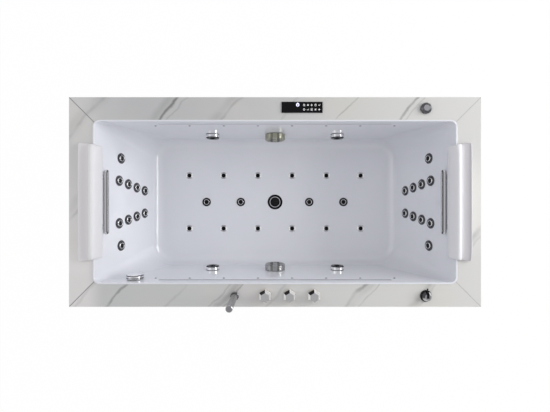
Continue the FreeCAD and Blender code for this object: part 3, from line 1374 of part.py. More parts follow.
def make_pressure_pipes():
    """The pressure side: a ring pipe round the tub, jet manifolds at both ends and a floor pipe."""
    x, y, z = ring_pipe_x, ring_pipe_y, ring_pipe_z
    radius, bend = ring_pipe_radius, ring_pipe_bend
    small_bend = branch_radius * 3
    pump_y = motor_start_y - volute_width / 2
    ring = [([(0, y, z), (x, y, z), (x, -y, z), (0, -y, z)], radius, bend),
            ([(0, y, z), (-x, y, z), (-x, -y, z), (0, -y, z)], radius, bend),
            ([(x, pump_y, z), (x, pump_y, pump_outlet_top)], pump_outlet_radius, bend),
            ([(x, -shelf_half_width, z), (x, -shelf_half_width, floor_feed_top)], floor_pipe_radius, bend)]
    for side, end in side_jet_places.values():
        ring.append(([(end * side_jet_x, side * y, z), (end * side_jet_x, side * y, port_top)],
                     branch_radius, bend))
    for end in (1, -1):
        for side in (1, -1):
            across = side * feed_y
            ring.append(([(end * x, across, z), (end * manifold_feed_x, across, z)], branch_radius, bend))
    parts = [plumbing("ring_pipe", ring)]

    slope_x, slope_z = cosine(backrest_slope), sine(backrest_slope)
    for end in (1, -1):
        for side in (1, -1):
            def behind(depth, across, stand):
                level = deck_height - depth
                out = end * (end_wall_x(level) + stand * slope_x)
                return (out, side * across, level - stand * slope_z)
            stand = jet_tail_length + manifold_radius + pipe_wall
            last_depth = back_jet_first_depth + back_jet_step * 3
            last_y = back_jet_first_y - back_jet_y_step * 3
            corner = behind(back_jet_first_depth, back_jet_first_y, stand)
            runs = [([behind(last_depth, last_y, stand), corner, behind(lone_jet_depth, lone_jet_y, stand)],
                     manifold_radius, small_bend)]
            for row in range(4):
                depth = back_jet_first_depth + back_jet_step * row
                across = back_jet_first_y - back_jet_y_step * row
                runs.append(([behind(depth, across, stand), behind(depth, across, jet_tail_length)],
                             jet_tail_radius, small_bend))
            runs.append(([behind(lone_jet_depth, lone_jet_y, stand),
                          behind(lone_jet_depth, lone_jet_y, jet_tail_length)], jet_tail_radius, small_bend))
            feed_start = behind(deck_height - feed_level, feed_y, stand)
            runs.append(([feed_start, (end * manifold_feed_x, side * feed_y, feed_start[2])],
                         branch_radius, small_bend))
            parts.append(plumbing("jet_manifold", runs))

    last, low = floor_jet_pitch * 2, floor_pipe_z
    floor_runs = [([(-last, 0, low), (-floor_detour_x, 0, low), (-floor_detour_x / 2, floor_detour_y, low),
                    (floor_detour_x / 2, floor_detour_y, low), (floor_detour_x, 0, low),
                    (cradle_outer_x, 0, low), (shelf_rail_x - floor_round, -shelf_half_width, low),
                    (x, -shelf_half_width, low), (x, -shelf_half_width, floor_feed_top)],
                   floor_pipe_radius, small_bend)]
    tail_end = floor_top - jet_tail_length
    for step in (-2, -1, 1, 2):
        floor_runs.append(([(floor_jet_pitch * step, 0, low), (floor_jet_pitch * step, 0, tail_end)],
                           jet_tail_radius, small_bend))
    parts.append(plumbing("floor_jet_pipe", floor_runs))
    node(gather("pressure_pipes", parts), "pressure_pipes")


def make_suction_pipe():
    """The suction side: from both inlets, under the tub, to the pump."""
    y, z, bend = suction_port_y, suction_port_end, suction_pipe_bend
    inlet_y = motor_start_y - volute_width - pump_port_length
    lift = pump_axis_z - suction_pipe_z
    elbow = suction_pipe_z + (y - suction_pipe_y)
    runs = [([(0, -y, z), (0, -y, elbow), (0, -suction_pipe_y, suction_pipe_z),
              (pump_x, -suction_pipe_y, suction_pipe_z),
              (pump_x, lift - suction_pipe_y, pump_axis_z), (pump_x, inlet_y, pump_axis_z)],
             suction_pipe_radius, bend),
            ([(0, y, z), (0, y, elbow),
              (suction_cross_x, suction_pipe_y - floor_round, suction_cross_z),
              (suction_cross_x, floor_round * 2 - suction_pipe_y, suction_cross_z),
              (suction_cross_x, -suction_pipe_y, suction_pipe_z)], suction_pipe_radius, bend)]
    node(plumbing("suction_pipe", runs), "suction_pipe")


def make_air_pipes():
    """Air from the blower to the floor nozzles and up to the nozzles of the side walls."""
    bend = air_pipe_radius * 3
    wall_stand = wall_nozzle_tail + wall_air_pipe_radius + pipe_wall
    level = deck_height - wall_nozzle_depth
    wall_y = side_wall_y(level) + wall_stand * cosine(side_slope)
    wall_z = level - wall_stand * sine(side_slope)
    far_x = frame_half_length + air_riser_outset
    parts = []
    for side in (1, -1):
        runs = [([(-blower_x, side * blower_port_y, air_pipe_z), (-blower_x, side * air_nozzle_y, air_pipe_z),
                  (air_nozzle_pitch * 2.5 + bend, side * air_nozzle_y, air_pipe_z)], air_pipe_radius, bend)]
        for step in (-2.5, -1.5, -0.5, 0.5, 1.5, 2.5):
            along = air_nozzle_pitch * step
            runs.append(([(along, side * air_nozzle_y, air_pipe_z),
                          (along, side * air_nozzle_y, floor_top - air_nozzle_tail)],
                         air_nozzle_tail_radius, bend))
        runs.append(([(wall_nozzle_pitch * 3.5 + bend, side * wall_y, wall_z),
                      (-wall_nozzle_pitch * 3.5 - bend / 2, side * wall_y, wall_z),
                      (overflow_barrel - overflow_x, side * wall_y, wall_z - wall_air_drop),
                      (-far_x, side * wall_y, wall_z - wall_air_drop),
                      (-far_x, side * wall_y, air_pipe_z), (-blower_x, side * air_nozzle_y, air_pipe_z)],
                     wall_air_pipe_radius, bend))
        for step in (-3.5, -2.5, -1.5, -0.5, 0.5, 1.5, 2.5, 3.5):
            along = wall_nozzle_pitch * step
            tail_y = side_wall_y(level) + wall_nozzle_tail * cosine(side_slope)
            tail_z = level - wall_nozzle_tail * sine(side_slope)
            runs.append(([(along, side * wall_y, wall_z), (along, side * tail_y, tail_z)],
                         wall_nozzle_barrel + pipe_wall / 2, bend))
        parts.append(plumbing("air_pipe", runs))
    node(gather("air_pipes", parts), "air_pipes")


# Places where pipes meet fittings, shared by both.
overflow_bottom = deck_height - overflow_depth - overflow_port_drop
port_top = ring_pipe_z - ring_pipe_radius - pipe_wall
suction_port_y = side_wall_y(deck_height - side_fitting_depth) + side_jet_tail / 2 + shell_wall
suction_port_end = deck_height - side_fitting_depth - suction_barrel - jet_nut_height
floor_feed_top = ring_pipe_z - ring_pipe_radius * 3
feed_y = back_jet_first_y - back_jet_y_step * 1.5
feed_level = ring_pipe_z
blower_port_y = blower_radius + pump_port_length

make_tub_shell()
make_deck_slabs()
make_aprons()
make_steel_frame()
lock_nuts = make_feet()
make_pillows()
bar_nuts = make_grab_bars()
node(gather("hex_nuts", [lock_nuts, bar_nuts]), "hex_nuts")
make_back_and_floor_jets()
make_air_nozzles()
make_side_jets()
make_suction_inlets()
make_waste()
make_overflow()
make_valves()
make_mixer()
make_air_control()
make_control_panel()
make_hand_shower()
make_pump()
make_blower()
make_control_box()
make_pressure_pipes()
make_suction_pipe()
make_air_pipes()

# ---- check and write ----------------------------------------------------------------------------

doc.recompute()
faults = [obj.Name for obj in doc.Objects if "Invalid" in obj.State or "Error" in obj.State]
for obj in nodes:
    shape = obj.Shape
    if shape.isNull() or not shape.isValid() or not shape.Solids:
        faults.append(obj.Label + " has no sound shape")
if faults:
    raise RuntimeError("the model did not build: " + ", ".join(faults))

os.makedirs("parts", exist_ok=True)
for obj in nodes:
    obj.Shape.exportStep("parts/%s.step" % obj.Label)
print("%d sub-parts, %d solids" % (len(nodes), sum(len(obj.Shape.Solids) for obj in nodes)))
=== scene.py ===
import bmesh
import bpy
import math
from mathutils import Matrix, Vector


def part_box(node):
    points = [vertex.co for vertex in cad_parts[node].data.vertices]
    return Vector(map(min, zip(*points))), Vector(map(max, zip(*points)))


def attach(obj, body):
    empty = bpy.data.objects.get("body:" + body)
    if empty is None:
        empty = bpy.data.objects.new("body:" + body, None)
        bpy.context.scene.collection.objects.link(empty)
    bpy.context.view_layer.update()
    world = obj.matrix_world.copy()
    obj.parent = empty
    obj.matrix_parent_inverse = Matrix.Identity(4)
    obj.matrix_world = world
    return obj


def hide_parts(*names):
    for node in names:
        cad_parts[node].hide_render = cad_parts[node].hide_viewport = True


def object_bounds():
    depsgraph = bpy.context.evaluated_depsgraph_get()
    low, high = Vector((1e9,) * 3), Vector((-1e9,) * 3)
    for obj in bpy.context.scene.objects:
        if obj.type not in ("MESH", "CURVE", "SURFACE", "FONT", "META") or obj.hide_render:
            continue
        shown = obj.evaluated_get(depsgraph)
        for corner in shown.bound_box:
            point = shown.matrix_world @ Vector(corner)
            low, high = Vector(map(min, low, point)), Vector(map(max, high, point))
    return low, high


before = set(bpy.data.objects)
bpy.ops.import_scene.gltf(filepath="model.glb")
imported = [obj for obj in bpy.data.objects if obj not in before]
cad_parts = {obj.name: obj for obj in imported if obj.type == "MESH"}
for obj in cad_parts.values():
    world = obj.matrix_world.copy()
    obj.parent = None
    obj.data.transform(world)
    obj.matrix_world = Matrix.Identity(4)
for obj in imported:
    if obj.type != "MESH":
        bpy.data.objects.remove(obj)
cad_low, cad_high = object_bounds()


# ---- camera --------------------------------------------------------------------------------------
# The bath is seen from straight above its middle, from 1.7 m over the deck, with its back edge
# at the top of the picture.

picture_width = 550
bath_lift = 4                           # pixels that the bath stands above the picture's middle
camera = bpy.data.objects.new("overhead_camera", bpy.data.cameras.new("overhead_camera"))
bpy.context.scene.collection.objects.link(camera)
camera.location = (0, 0, 2.3)
camera.data.sensor_width = 36
camera.data.lens = 25.47
camera.data.shift_y = -bath_lift / picture_width
bpy.context.scene.camera = camera
bpy.context.scene.view_settings.view_transform = "Standard"


# ---- tub shell -----------------------------------------------------------------------------------
# One sheet of white acrylic, drawn into a mould and backed with resin. The skin is glossy and
# faintly blue, with the soft unevenness that drawn sheet has. Along both long walls a dark line is
# painted as the shade of a step, darker at the front than at the back.

class Wire:
    """One output of a node; sums on it add Math nodes beside it."""

    def __init__(self, wiring, socket):
        self.wiring, self.socket = wiring, socket

    def sum(self, operation, *values):
        return self.wiring.node("ShaderNodeMath", {"operation": operation}, dict(enumerate(values)))

    def alone(self, operation):
        return self.sum(operation, self)

    def __add__(self, other):
        return self.sum("ADD", self, other)

    __radd__ = __add__

    def __sub__(self, other):
        return self.sum("SUBTRACT", self, other)

    def __rsub__(self, other):
        return self.sum("SUBTRACT", other, self)

    def __mul__(self, other):
        return self.sum("MULTIPLY", self, other)

    __rmul__ = __mul__

    def __truediv__(self, other):
        return self.sum("DIVIDE", self, other)

    def __rtruediv__(self, other):
        return self.sum("DIVIDE", other, self)

    def __abs__(self):
        return self.alone("ABSOLUTE")

    def above(self, level):
        return self.sum("GREATER_THAN", self, level)

    def most(self, other):
        return self.sum("MAXIMUM", self, other)

    def distance(self, other):
        """From the middle, where this and the other are measured square to each other."""
        return (self * self + other * other).alone("SQRT")

    def ramp(self, low, high, start=0.0, end=1.0):
        """Runs smoothly from start to end while this goes from low to high."""
        return self.wiring.node("ShaderNodeMapRange", {"interpolation_type": "SMOOTHSTEP"},
                                {0: self, 1: low, 2: high, 3: start, 4: end})


class Wiring:
    """A tree of nodes, with one method that adds a node and wires it."""

    def __init__(self, tree):
        self.tree = tree

    def node(self, kind, settings, values, output=0):
        made = self.tree.nodes.new(kind)
        for name, value in settings.items():
            if name == "stops":
                for stop, (position, colour) in zip(made.color_ramp.elements, value):
                    stop.position, stop.color = position, (*colour, 1)
            else:
                setattr(made, name, value)
        for socket, value in values.items():
            if isinstance(value, Wire):
                self.tree.links.new(value.socket, made.inputs[socket])
            else:
                made.inputs[socket].default_value = value
        return Wire(self, made.outputs[output])

    def outputs(self, kind, values, names):
        """Several outputs of one node."""
        made = self.node(kind, {}, values).socket.node
        return [Wire(self, made.outputs[name]) for name in names]

    def mix(self, factor, first, second):
        """From one colour to another; each is three numbers or a wire."""
        ends = [end if isinstance(end, Wire) else (*end, 1) for end in (first, second)]
        return self.node("ShaderNodeMix", {"data_type": "RGBA"}, {0: factor, 6: ends[0], 7: ends[1]}, 2)


class Finish(Wiring):
    """A material: even values are set on its shader, and what changes over it is painted."""

    def __init__(self, name, colour, **surface):
        self.material = bpy.data.materials.new(name)
        self.material.use_nodes = True
        super().__init__(self.material.node_tree)
        self.shader = self.tree.nodes["Principled BSDF"]
        self.shader.inputs["Base Color"].default_value = (*colour, 1)
        for words, value in surface.items():
            socket = words.replace("_", " ").title().replace("Ior", "IOR")
            self.shader.inputs[socket].default_value = value

    def paint(self, socket, wire):
        self.tree.links.new(wire.socket, self.shader.inputs[socket])

    def place(self):
        """Object coordinates, in metres."""
        return self.node("ShaderNodeTexCoord", {}, {}, "Object")

    def axes(self):
        """The three Object coordinates, in metres."""
        return self.outputs("ShaderNodeSeparateXYZ", {0: self.place()}, range(3))

    def facing(self):
        """The three parts of the surface's own direction, in Object coordinates."""
        turned = self.node("ShaderNodeTexCoord", {}, {}, "Normal")
        return self.outputs("ShaderNodeSeparateXYZ", {0: turned}, range(3))

    def noise(self, scale, detail, place=None):
        values = {"Vector": place or self.place(), "Scale": scale, "Detail": detail}
        return self.node("ShaderNodeTexNoise", {}, values)

    def bump(self, height, distance, strength=1.0):
        values = {"Height": height, "Distance": distance, "Strength": strength}
        self.paint("Normal", self.node("ShaderNodeBump", {}, values))


def dress(finish, *nodes):
    """Give CAD nodes a finish."""
    for name in nodes:
        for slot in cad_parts[name].material_slots:
            slot.material = finish.material


step_level = 0.552                      # above the room's floor
step_reach = 0.5225                     # to each side of the bath's middle
long_walls = 0.33                       # what lies further out than this is a long wall
acrylic = Finish("white_acrylic", (0.82, 0.83, 0.86), roughness=0.14, ior=1.49, coat_weight=0.3,
                 coat_roughness=0.04)
cloud = acrylic.noise(1.6, 3)
skin_and_step_shade = acrylic.mix(cloud.ramp(0.35, 0.65), (0.80, 0.81, 0.86), (0.83, 0.838, 0.875))
x, y, z = acrylic.axes()
# Painted shade: a dark line along the long walls where a step throws its shade, darker at the front.
step_shade = abs(z - step_level).ramp(0.0040, 0.0055, 1, 0)
step_shade = step_shade * (step_reach - abs(x)).above(0) * (abs(y) - long_walls).above(0)
skin_and_step_shade = acrylic.mix(step_shade * y.ramp(-0.1, 0.1, 0.93, 0.45), skin_and_step_shade, (0.03, 0.035, 0.05))
acrylic.paint("Base Color", skin_and_step_shade)
acrylic.paint("Roughness", acrylic.noise(6, 3).ramp(0.3, 0.7, 0.11, 0.17))
acrylic.bump(acrylic.noise(14, 2), distance=0.0004)
dress(acrylic, "tub_shell")


# ---- deck and aprons -----------------------------------------------------------------------------
# Polished white marble-look slabs, mitred at the corners and filled with grey at the joints. The
# veins run from upper right to lower left; the aprons are cut from the same stone.

marble = Finish("veined_marble", (0.7, 0.7, 0.68), roughness=0.16, ior=1.5, coat_weight=0.35,
                coat_roughness=0.05)
deck_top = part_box("deck_slab_back")[1][2]
mitre = cad_high[0] - cad_high[1]       # x less y along every mitre
slab_middle = 0.408                     # from the bath's middle to the middle of a long slab
vein_x, vein_y = 0.743, 0.669           # the direction square to the veins
# Of each vein: where it crosses the slab's middle line, its half width, and its depth of grey.
back_veins = (
    (-0.808, 0.050, 0.20), (-0.790, 0.012, 0.20), (-0.500, 0.030, 0.26), (-0.467, 0.011, 0.85),
    (-0.430, 0.006, 0.26), (-0.225, 0.034, 0.22), (-0.196, 0.009, 0.36), (0.060, 0.010, 0.16),
    (0.317, 0.006, 0.40), (0.585, 0.008, 0.62), (0.612, 0.005, 0.24))
front_veins = (
    (-0.835, 0.012, 0.20), (-0.692, 0.008, 0.95), (-0.432, 0.010, 0.18), (-0.205, 0.024, 0.34),
    (-0.180, 0.007, 0.50), (-0.236, 0.006, 0.30), (0.010, 0.007, 0.24), (0.352, 0.012, 0.60),
    (0.376, 0.024, 0.20), (0.413, 0.006, 0.34), (0.642, 0.022, 0.32), (0.668, 0.007, 0.20))
x, y, z = marble.axes()
drift = marble.noise(7, 4)
fray = marble.noise(38, 3)
across = (x - z + deck_top) * vein_x - y * vein_y + (drift - 0.5) * 0.05 + (fray - 0.5) * 0.006
patchy = marble.noise(9, 2).ramp(0.3, 0.62, 0.35, 1.0)
behind = y.ramp(-0.18, 0.18)
lines = []
for slab_y, share, veins in ((slab_middle, behind, back_veins), (-slab_middle, 1 - behind, front_veins)):
    for crossing, half_width, depth in veins:
        vein = crossing * vein_x - slab_y * vein_y
        lines.append(abs(across - vein).ramp(0, half_width, depth, 0) * share)
joint = abs(abs(x) - abs(y) - mitre).ramp(0.0012, 0.0040, 1, 0) * x.ramp(-0.2, 0.2, 0.8, 0.25)

# Painted light and shade: the stone is painted greyer on the left and at the back there, and paler
# on the end slabs.
painted_light_rightwards = x.ramp(-0.75, 0.75)
left_end_painted_light = (x * -1).ramp(0.74, 0.83) * 0.9
right_end_painted_light = x.ramp(0.80, 0.84) * abs(y).ramp(0.05, 0.25, 0.8, 0)
# Painted shade: greyer towards the back on the left.
back_left = y.ramp(-0.30, 0.36) * (1 - painted_light_rightwards) * 0.6
cream = marble.noise(2.6, 3).ramp(0.45, 0.75) * 0.4
blush = marble.noise(3.3, 3).ramp(0.5, 0.75) * 0.3
stone_and_painted_light = marble.mix(painted_light_rightwards, (0.57, 0.575, 0.57), (0.68, 0.675, 0.655))
for share, colour in (
        (left_end_painted_light, (0.77, 0.75, 0.735)), (right_end_painted_light, (0.80, 0.79, 0.75)), (back_left, (0.50, 0.50, 0.505)),
        (cream, (0.68, 0.66, 0.58)), (blush, (0.70, 0.64, 0.62)), (sum(lines) * patchy, (0.17, 0.17, 0.165)),
        (joint, (0.20, 0.20, 0.205))):
    stone_and_painted_light = marble.mix(share, stone_and_painted_light, colour)
marble.paint("Base Color", stone_and_painted_light)
marble.paint("Roughness", marble.noise(20, 2).ramp(0.3, 0.7, 0.13, 0.19) + joint * 0.3)
for edge in ("front", "back", "left", "right"):
    dress(marble, "deck_slab_" + edge, "apron_" + edge)


# ---- head pillows --------------------------------------------------------------------------------
# Moulded soft foam with a white skin, one at each end: a broad trough on the deck side, a round
# ridge over the lip of the bath and a face that runs down to the grab bar.

pillow_skin = Finish("white_foam_skin", (0.84, 0.84, 0.85), roughness=0.42, ior=1.45)
grain = pillow_skin.node("ShaderNodeTexVoronoi", {"feature": "DISTANCE_TO_EDGE"},
                         {"Vector": pillow_skin.place(), "Scale": 900}, "Distance")
pillow_skin.bump(grain, distance=0.0002, strength=0.35)
pillow_skin.paint("Roughness", pillow_skin.noise(30, 3).ramp(0.3, 0.7, 0.36, 0.5))
trough_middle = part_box("pillow_right")[1][0] - 0.026
x, y, z = pillow_skin.axes()
# Painted light and shade: both troughs are painted darker, the right one much darker; the left pillow's
# ridge and outer part are painted lighter than its face, and the right pillow an even grey.
trough_shade_mask = abs(abs(x) - trough_middle).ramp(0.0195, 0.0245, 1, 0)
on_right = x.above(0)
left_pillow_light_and_shade = pillow_skin.mix((x * -1).ramp(0.770, 0.784), (0.75, 0.745, 0.765), (0.84, 0.84, 0.85))
pillow_light_and_shade = pillow_skin.mix(on_right, left_pillow_light_and_shade, (0.78, 0.78, 0.805))
trough_shade_colour = pillow_skin.mix(on_right, (0.74, 0.72, 0.735), (0.54, 0.525, 0.545))
pillow_skin.paint("Base Color", pillow_skin.mix(trough_shade_mask, pillow_light_and_shade, trough_shade_colour))

# The section of the right pillow, as x and z: its foot on the deck, the outer rim, the trough, the
# ridge, the face, and the hollow that sits over the lip.
pillow_section = (
    (0.800, 0.6008), (0.848, 0.6005),
    (0.8530, 0.6030), (0.8538, 0.6120), (0.8525, 0.6200), (0.8485, 0.6225), (0.8450, 0.6195),
    (0.838, 0.6180), (0.826, 0.6178), (0.814, 0.6190), (0.806, 0.6230),
    (0.800, 0.6330), (0.793, 0.6390), (0.784, 0.6392), (0.776, 0.6330), (0.768, 0.6220),
    (0.7605, 0.6070), (0.7565, 0.5935), (0.7575, 0.5880),
    (0.7650, 0.5868), (0.7795, 0.5880), (0.7870, 0.6035), (0.7960, 0.6042))
# From the middle to an end: how far along, how much of the height is left, and how far the outer
# edge runs past the inner one.
pillow_stations = ((0.10, 1.0, 0), (0.18, 0.98, 0.012), (0.218, 0.93, 0.012), (0.237, 0.83, 0.012),
                   (0.2475, 0.66, 0.012))
pillow_seat = 0.604                     # the level that the ends sink towards
pillow_inner, pillow_width = 0.756, 0.098


def as_object(name, work, finish, smooth=False):
    """Turn a finished bmesh into an object of the scene."""
    for face in work.faces:
        face.smooth = smooth
    mesh = bpy.data.meshes.new(name)
    work.to_mesh(mesh)
    work.free()
    mesh.materials.append(finish.material)
    made = bpy.data.objects.new(name, mesh)
    bpy.context.scene.collection.objects.link(made)
    return made


def pillow(name, side, node):
    work = bmesh.new()
    end = work.faces.new([work.verts.new((side * out, 0, up)) for out, up in pillow_section])
    height_before = 1.0
    for along, height, splay in pillow_stations:
        grown = bmesh.ops.extrude_face_region(work, geom=[end])["geom"]
        bmesh.ops.delete(work, geom=[end], context="FACES_ONLY")
        end = [part for part in grown if isinstance(part, bmesh.types.BMFace)][0]
        for corner in end.verts:
            if corner.co.z > pillow_seat:
                corner.co.z = pillow_seat + (corner.co.z - pillow_seat) * height / height_before
            corner.co.y = along + (abs(corner.co.x) - pillow_inner) / pillow_width * splay
        height_before = height
    bmesh.ops.mirror(work, geom=work.verts[:] + work.edges[:] + work.faces[:], axis="Y", merge_dist=1e-5)
    bmesh.ops.remove_doubles(work, verts=work.verts[:], dist=1e-5)
    bmesh.ops.recalc_face_normals(work, faces=work.faces[:])
    made = as_object(name, work, pillow_skin, smooth=True)
    rounded = made.modifiers.new("rounded", "SUBSURF")
    rounded.levels = rounded.render_levels = 2
    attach(made, "bath")
    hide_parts(node)


pillow("head_pillow_right", 1, "pillow_right")
pillow("head_pillow_left", -1, "pillow_left")


# ---- grab bars -----------------------------------------------------------------------------------
# A straight brass grip under each pillow, on two posts with roses, polished and chrome-plated and
# held through the shell by studs and nuts. A dark stripe is painted as a reflection on the side
# towards the water.

bright_plate = (0.80, 0.80, 0.81)
bar_chrome = Finish("bar_chrome", bright_plate, metallic=1.0, roughness=0.09)
# Painted reflection: a dark stripe on each bar's side towards the water.
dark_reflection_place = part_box("grab_bar_right")[0][0] + 0.0042
x, y, z = bar_chrome.axes()
dark_reflection_stripe = abs(abs(x) - dark_reflection_place).ramp(0.0014, 0.0038, 1, 0)
bar_chrome.paint("Base Color", bar_chrome.mix(dark_reflection_stripe, (0.70, 0.70, 0.71), (0.07, 0.07, 0.072)))
bar_chrome.paint("Roughness", bar_chrome.noise(45, 3).ramp(0.3, 0.75, 0.06, 0.13))
dress(bar_chrome, "grab_bar_left", "grab_bar_right")


# ---- overflow cover ------------------------------------------------------------------------------
# A cast and chrome-plated cover that turns by hand and lifts the plug through a cable. Light and
# dark bands about 10 mm apart are painted on its polished face as reflections.

reflection_band_wave = 620                         # radians of the bands' wave in a metre
reflection_banded_chrome = Finish("reflection_banded_chrome", bright_plate, metallic=1.0, roughness=0.09)
x, y, z = reflection_banded_chrome.axes()
# Painted reflections: dark bands across the chrome face.
reflection_bands = (y * reflection_band_wave).alone("SINE").ramp(0.1, 0.6)
reflection_banded_chrome.paint("Base Color", reflection_banded_chrome.mix(reflection_bands, bright_plate, (0.14, 0.14, 0.15)))
reflection_banded_chrome.paint("Roughness", reflection_banded_chrome.noise(45, 3).ramp(0.3, 0.75, 0.06, 0.13))
dress(reflection_banded_chrome, "overflow_knob")


# ---- back and floor jets -------------------------------------------------------------------------
# Twenty jets in the backrests and four in the floor: a black plastic body is screwed into a nut
# behind the shell, and its chrome trim ring, painted dark as a reflection, has bright wires set in
# it. Each backrest jet has a black disc over its bore that takes in the shade round the bore.

# Painted reflection: the trim rings' chrome is given a dark colour.
dark_reflection_chrome = Finish("dark_reflection_chrome", (0.09, 0.09, 0.10), metallic=1.0, roughness=0.12)
dark_reflection_chrome.paint("Roughness", dark_reflection_chrome.noise(60, 3).ramp(0.3, 0.75, 0.09, 0.2))
dress(dark_reflection_chrome, "jet_trim_rings")
black_plastic = Finish("glossy_black_plastic", (0.006, 0.006, 0.007), roughness=0.22,
                       specular_ior_level=0.2)
black_plastic.paint("Roughness", black_plastic.noise(60, 2).ramp(0.3, 0.7, 0.18, 0.3))
dress(black_plastic, "back_jet_bodies", "floor_jet_bodies")
wire_chrome = Finish("polished_chrome", bright_plate, metallic=1.0, roughness=0.07)
wire_chrome.paint("Roughness", wire_chrome.noise(45, 3).ramp(0.3, 0.75, 0.05, 0.12))

lowest_back_jet = 0.25                  # trim rings above this level are in the backrests
# Of each wire: its radius, its half thickness, and how far it stands over the ring's middle.
back_wires = ((0.0192, 0.0008, 0.0014), (0.0128, 0.0015, 0.0046))
floor_wires = ((0.0134, 0.0014, 0.0012),)
mouth_foot, mouth_face, mouth_depth, mouth_stand = 0.0094, 0.0088, 0.0012, 0.0068


def ring_middles(node):
    """The middle of each separate ring of a CAD node."""
    rings = bmesh.new()
    rings.from_mesh(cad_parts[node].data)
    bmesh.ops.remove_doubles(rings, verts=rings.verts[:], dist=1e-5)
    middles, seen = [], set()
    for start in rings.verts:
        if start in seen:
            continue
        seen.add(start)
        border, low, high = [start], start.co.copy(), start.co.copy()
        while border:
            corner = border.pop()
            low = Vector(map(min, low, corner.co))
            high = Vector(map(max, high, corner.co))
            for edge in corner.link_edges:
                other = edge.other_vert(corner)
                if other not in seen:
                    seen.add(other)
                    border.append(other)
        middles.append((low + high) / 2)
    rings.free()
    return middles


def wire_hoops(wires):
    """The wires of one jet, lying round the origin."""
    work = bmesh.new()
    upright = Matrix.Rotation(math.radians(90), 4, "X")
    for radius, half_thickness, stand in wires:
        section = bmesh.ops.create_circle(work, segments=8, radius=half_thickness,
                                          matrix=Matrix.Translation((radius, 0, stand)) @ upright)["verts"]
        edges = list(dict.fromkeys(edge for corner in section for edge in corner.link_edges))
        bmesh.ops.spin(work, geom=section + edges, cent=(0, 0, 0), axis=(0, 0, 1), steps=28,
                       angle=math.tau, use_merge=True)
    mesh = bpy.data.meshes.new("hoops")
    work.to_mesh(mesh)
    work.free()
    return mesh


def set_in(work, hoops, stand):
    """Add one jet's wires to the others."""
    already = len(work.verts)
    work.from_mesh(hoops)
    work.verts.ensure_lookup_table()
    bmesh.ops.transform(work, matrix=stand, verts=work.verts[already:])


jets = ring_middles("jet_trim_rings")
back_hoops, floor_hoops = wire_hoops(back_wires), wire_hoops(floor_wires)
wires, mouth_shade_discs = bmesh.new(), bmesh.new()
for side in (-1, 1):
    row = [jet for jet in jets if jet.z > lowest_back_jet and jet.x * side > 0]
    row.sort(key=lambda jet: (round(jet.z, 5), jet.y))
    # Each jet points square to the line that its row makes up the sloping backrest.
    square = (row[-1] - row[0]).cross(Vector((0, 1, 0)))
    out = Vector((square.x, 0, square.z)).normalized()
    if out.x * side > 0:
        out = -out
    for jet in row:
        stand = Matrix.Translation(jet) @ out.to_track_quat("Z", "Y").to_matrix().to_4x4()
        set_in(wires, back_hoops, stand)
        # A black disc over the bore: the dark of the bore, and painted shade round it.
        bmesh.ops.create_cone(mouth_shade_discs, cap_ends=True, segments=24, radius1=mouth_foot, radius2=mouth_face,
                              depth=mouth_depth, matrix=stand @ Matrix.Translation((0, 0, mouth_stand)))
for jet in jets:
    if jet.z <= lowest_back_jet:
        set_in(wires, floor_hoops, Matrix.Translation(jet))
for name, work, finish in (("jet_wires", wires, wire_chrome), ("back_jet_mouth_shade_discs", mouth_shade_discs, black_plastic)):
    bmesh.ops.remove_doubles(work, verts=work.verts[:], dist=1e-6)
    bmesh.ops.recalc_face_normals(work, faces=work.faces[:])
    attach(as_object(name, work, finish, smooth=work is wires), "bath")


# ---- side jets -----------------------------------------------------------------------------------
# Four large jets in the long walls, each with a cast chrome bezel that turns to set the flow and a
# black plastic eyeball that aims it. The bezels' bright rims frame a face that looks black.

bezel_chrome = Finish("bezel_chrome", bright_plate, metallic=1.0, roughness=0.08, specular_ior_level=0.15)
x, y, z = bezel_chrome.facing()
to_water = abs(y).ramp(0.48, 0.60)
bezel_chrome.paint("Base Color", bezel_chrome.mix(to_water, bright_plate, (0.005, 0.005, 0.006)))
bezel_chrome.paint("Roughness", bezel_chrome.noise(50, 3).ramp(0.3, 0.75, 0.06, 0.13))
bezel_chrome.paint("Metallic", 1 - to_water)
for wall in ("back_left", "back_right", "front_left", "front_right"):
    dress(bezel_chrome, "side_jet_bezel_" + wall)
    dress(black_plastic, "side_jet_eyeball_" + wall)


# ---- air nozzles ---------------------------------------------------------------------------------
# Twelve chrome-plated nozzles in two rows in the floor, with painted white glints on two sides of a
# black mouth, and sixteen pin-sized ones of darker plate in the long walls. Each leads to an air pipe.

nozzle_flange = 0.019                   # radius
outermost = 2.5                         # pitches from the bath's middle to a row's last nozzle
nozzle_pitch = (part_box("floor_air_nozzles")[1][0] - nozzle_flange) / outermost
nozzle_row = 0.1445                     # from the bath's middle to each row
nozzle_chrome = Finish("nozzle_chrome", (0.9, 0.9, 0.9), metallic=1.0, roughness=0.12,
                       specular_ior_level=0.1)
x, y, z = nozzle_chrome.axes()
pitches = x / nozzle_pitch - 0.5
east = (pitches - pitches.alone("ROUND")) * nozzle_pitch
north = abs(y) - nozzle_row
mouth = east.distance(north).ramp(0.0112, 0.0120, 1, 0)
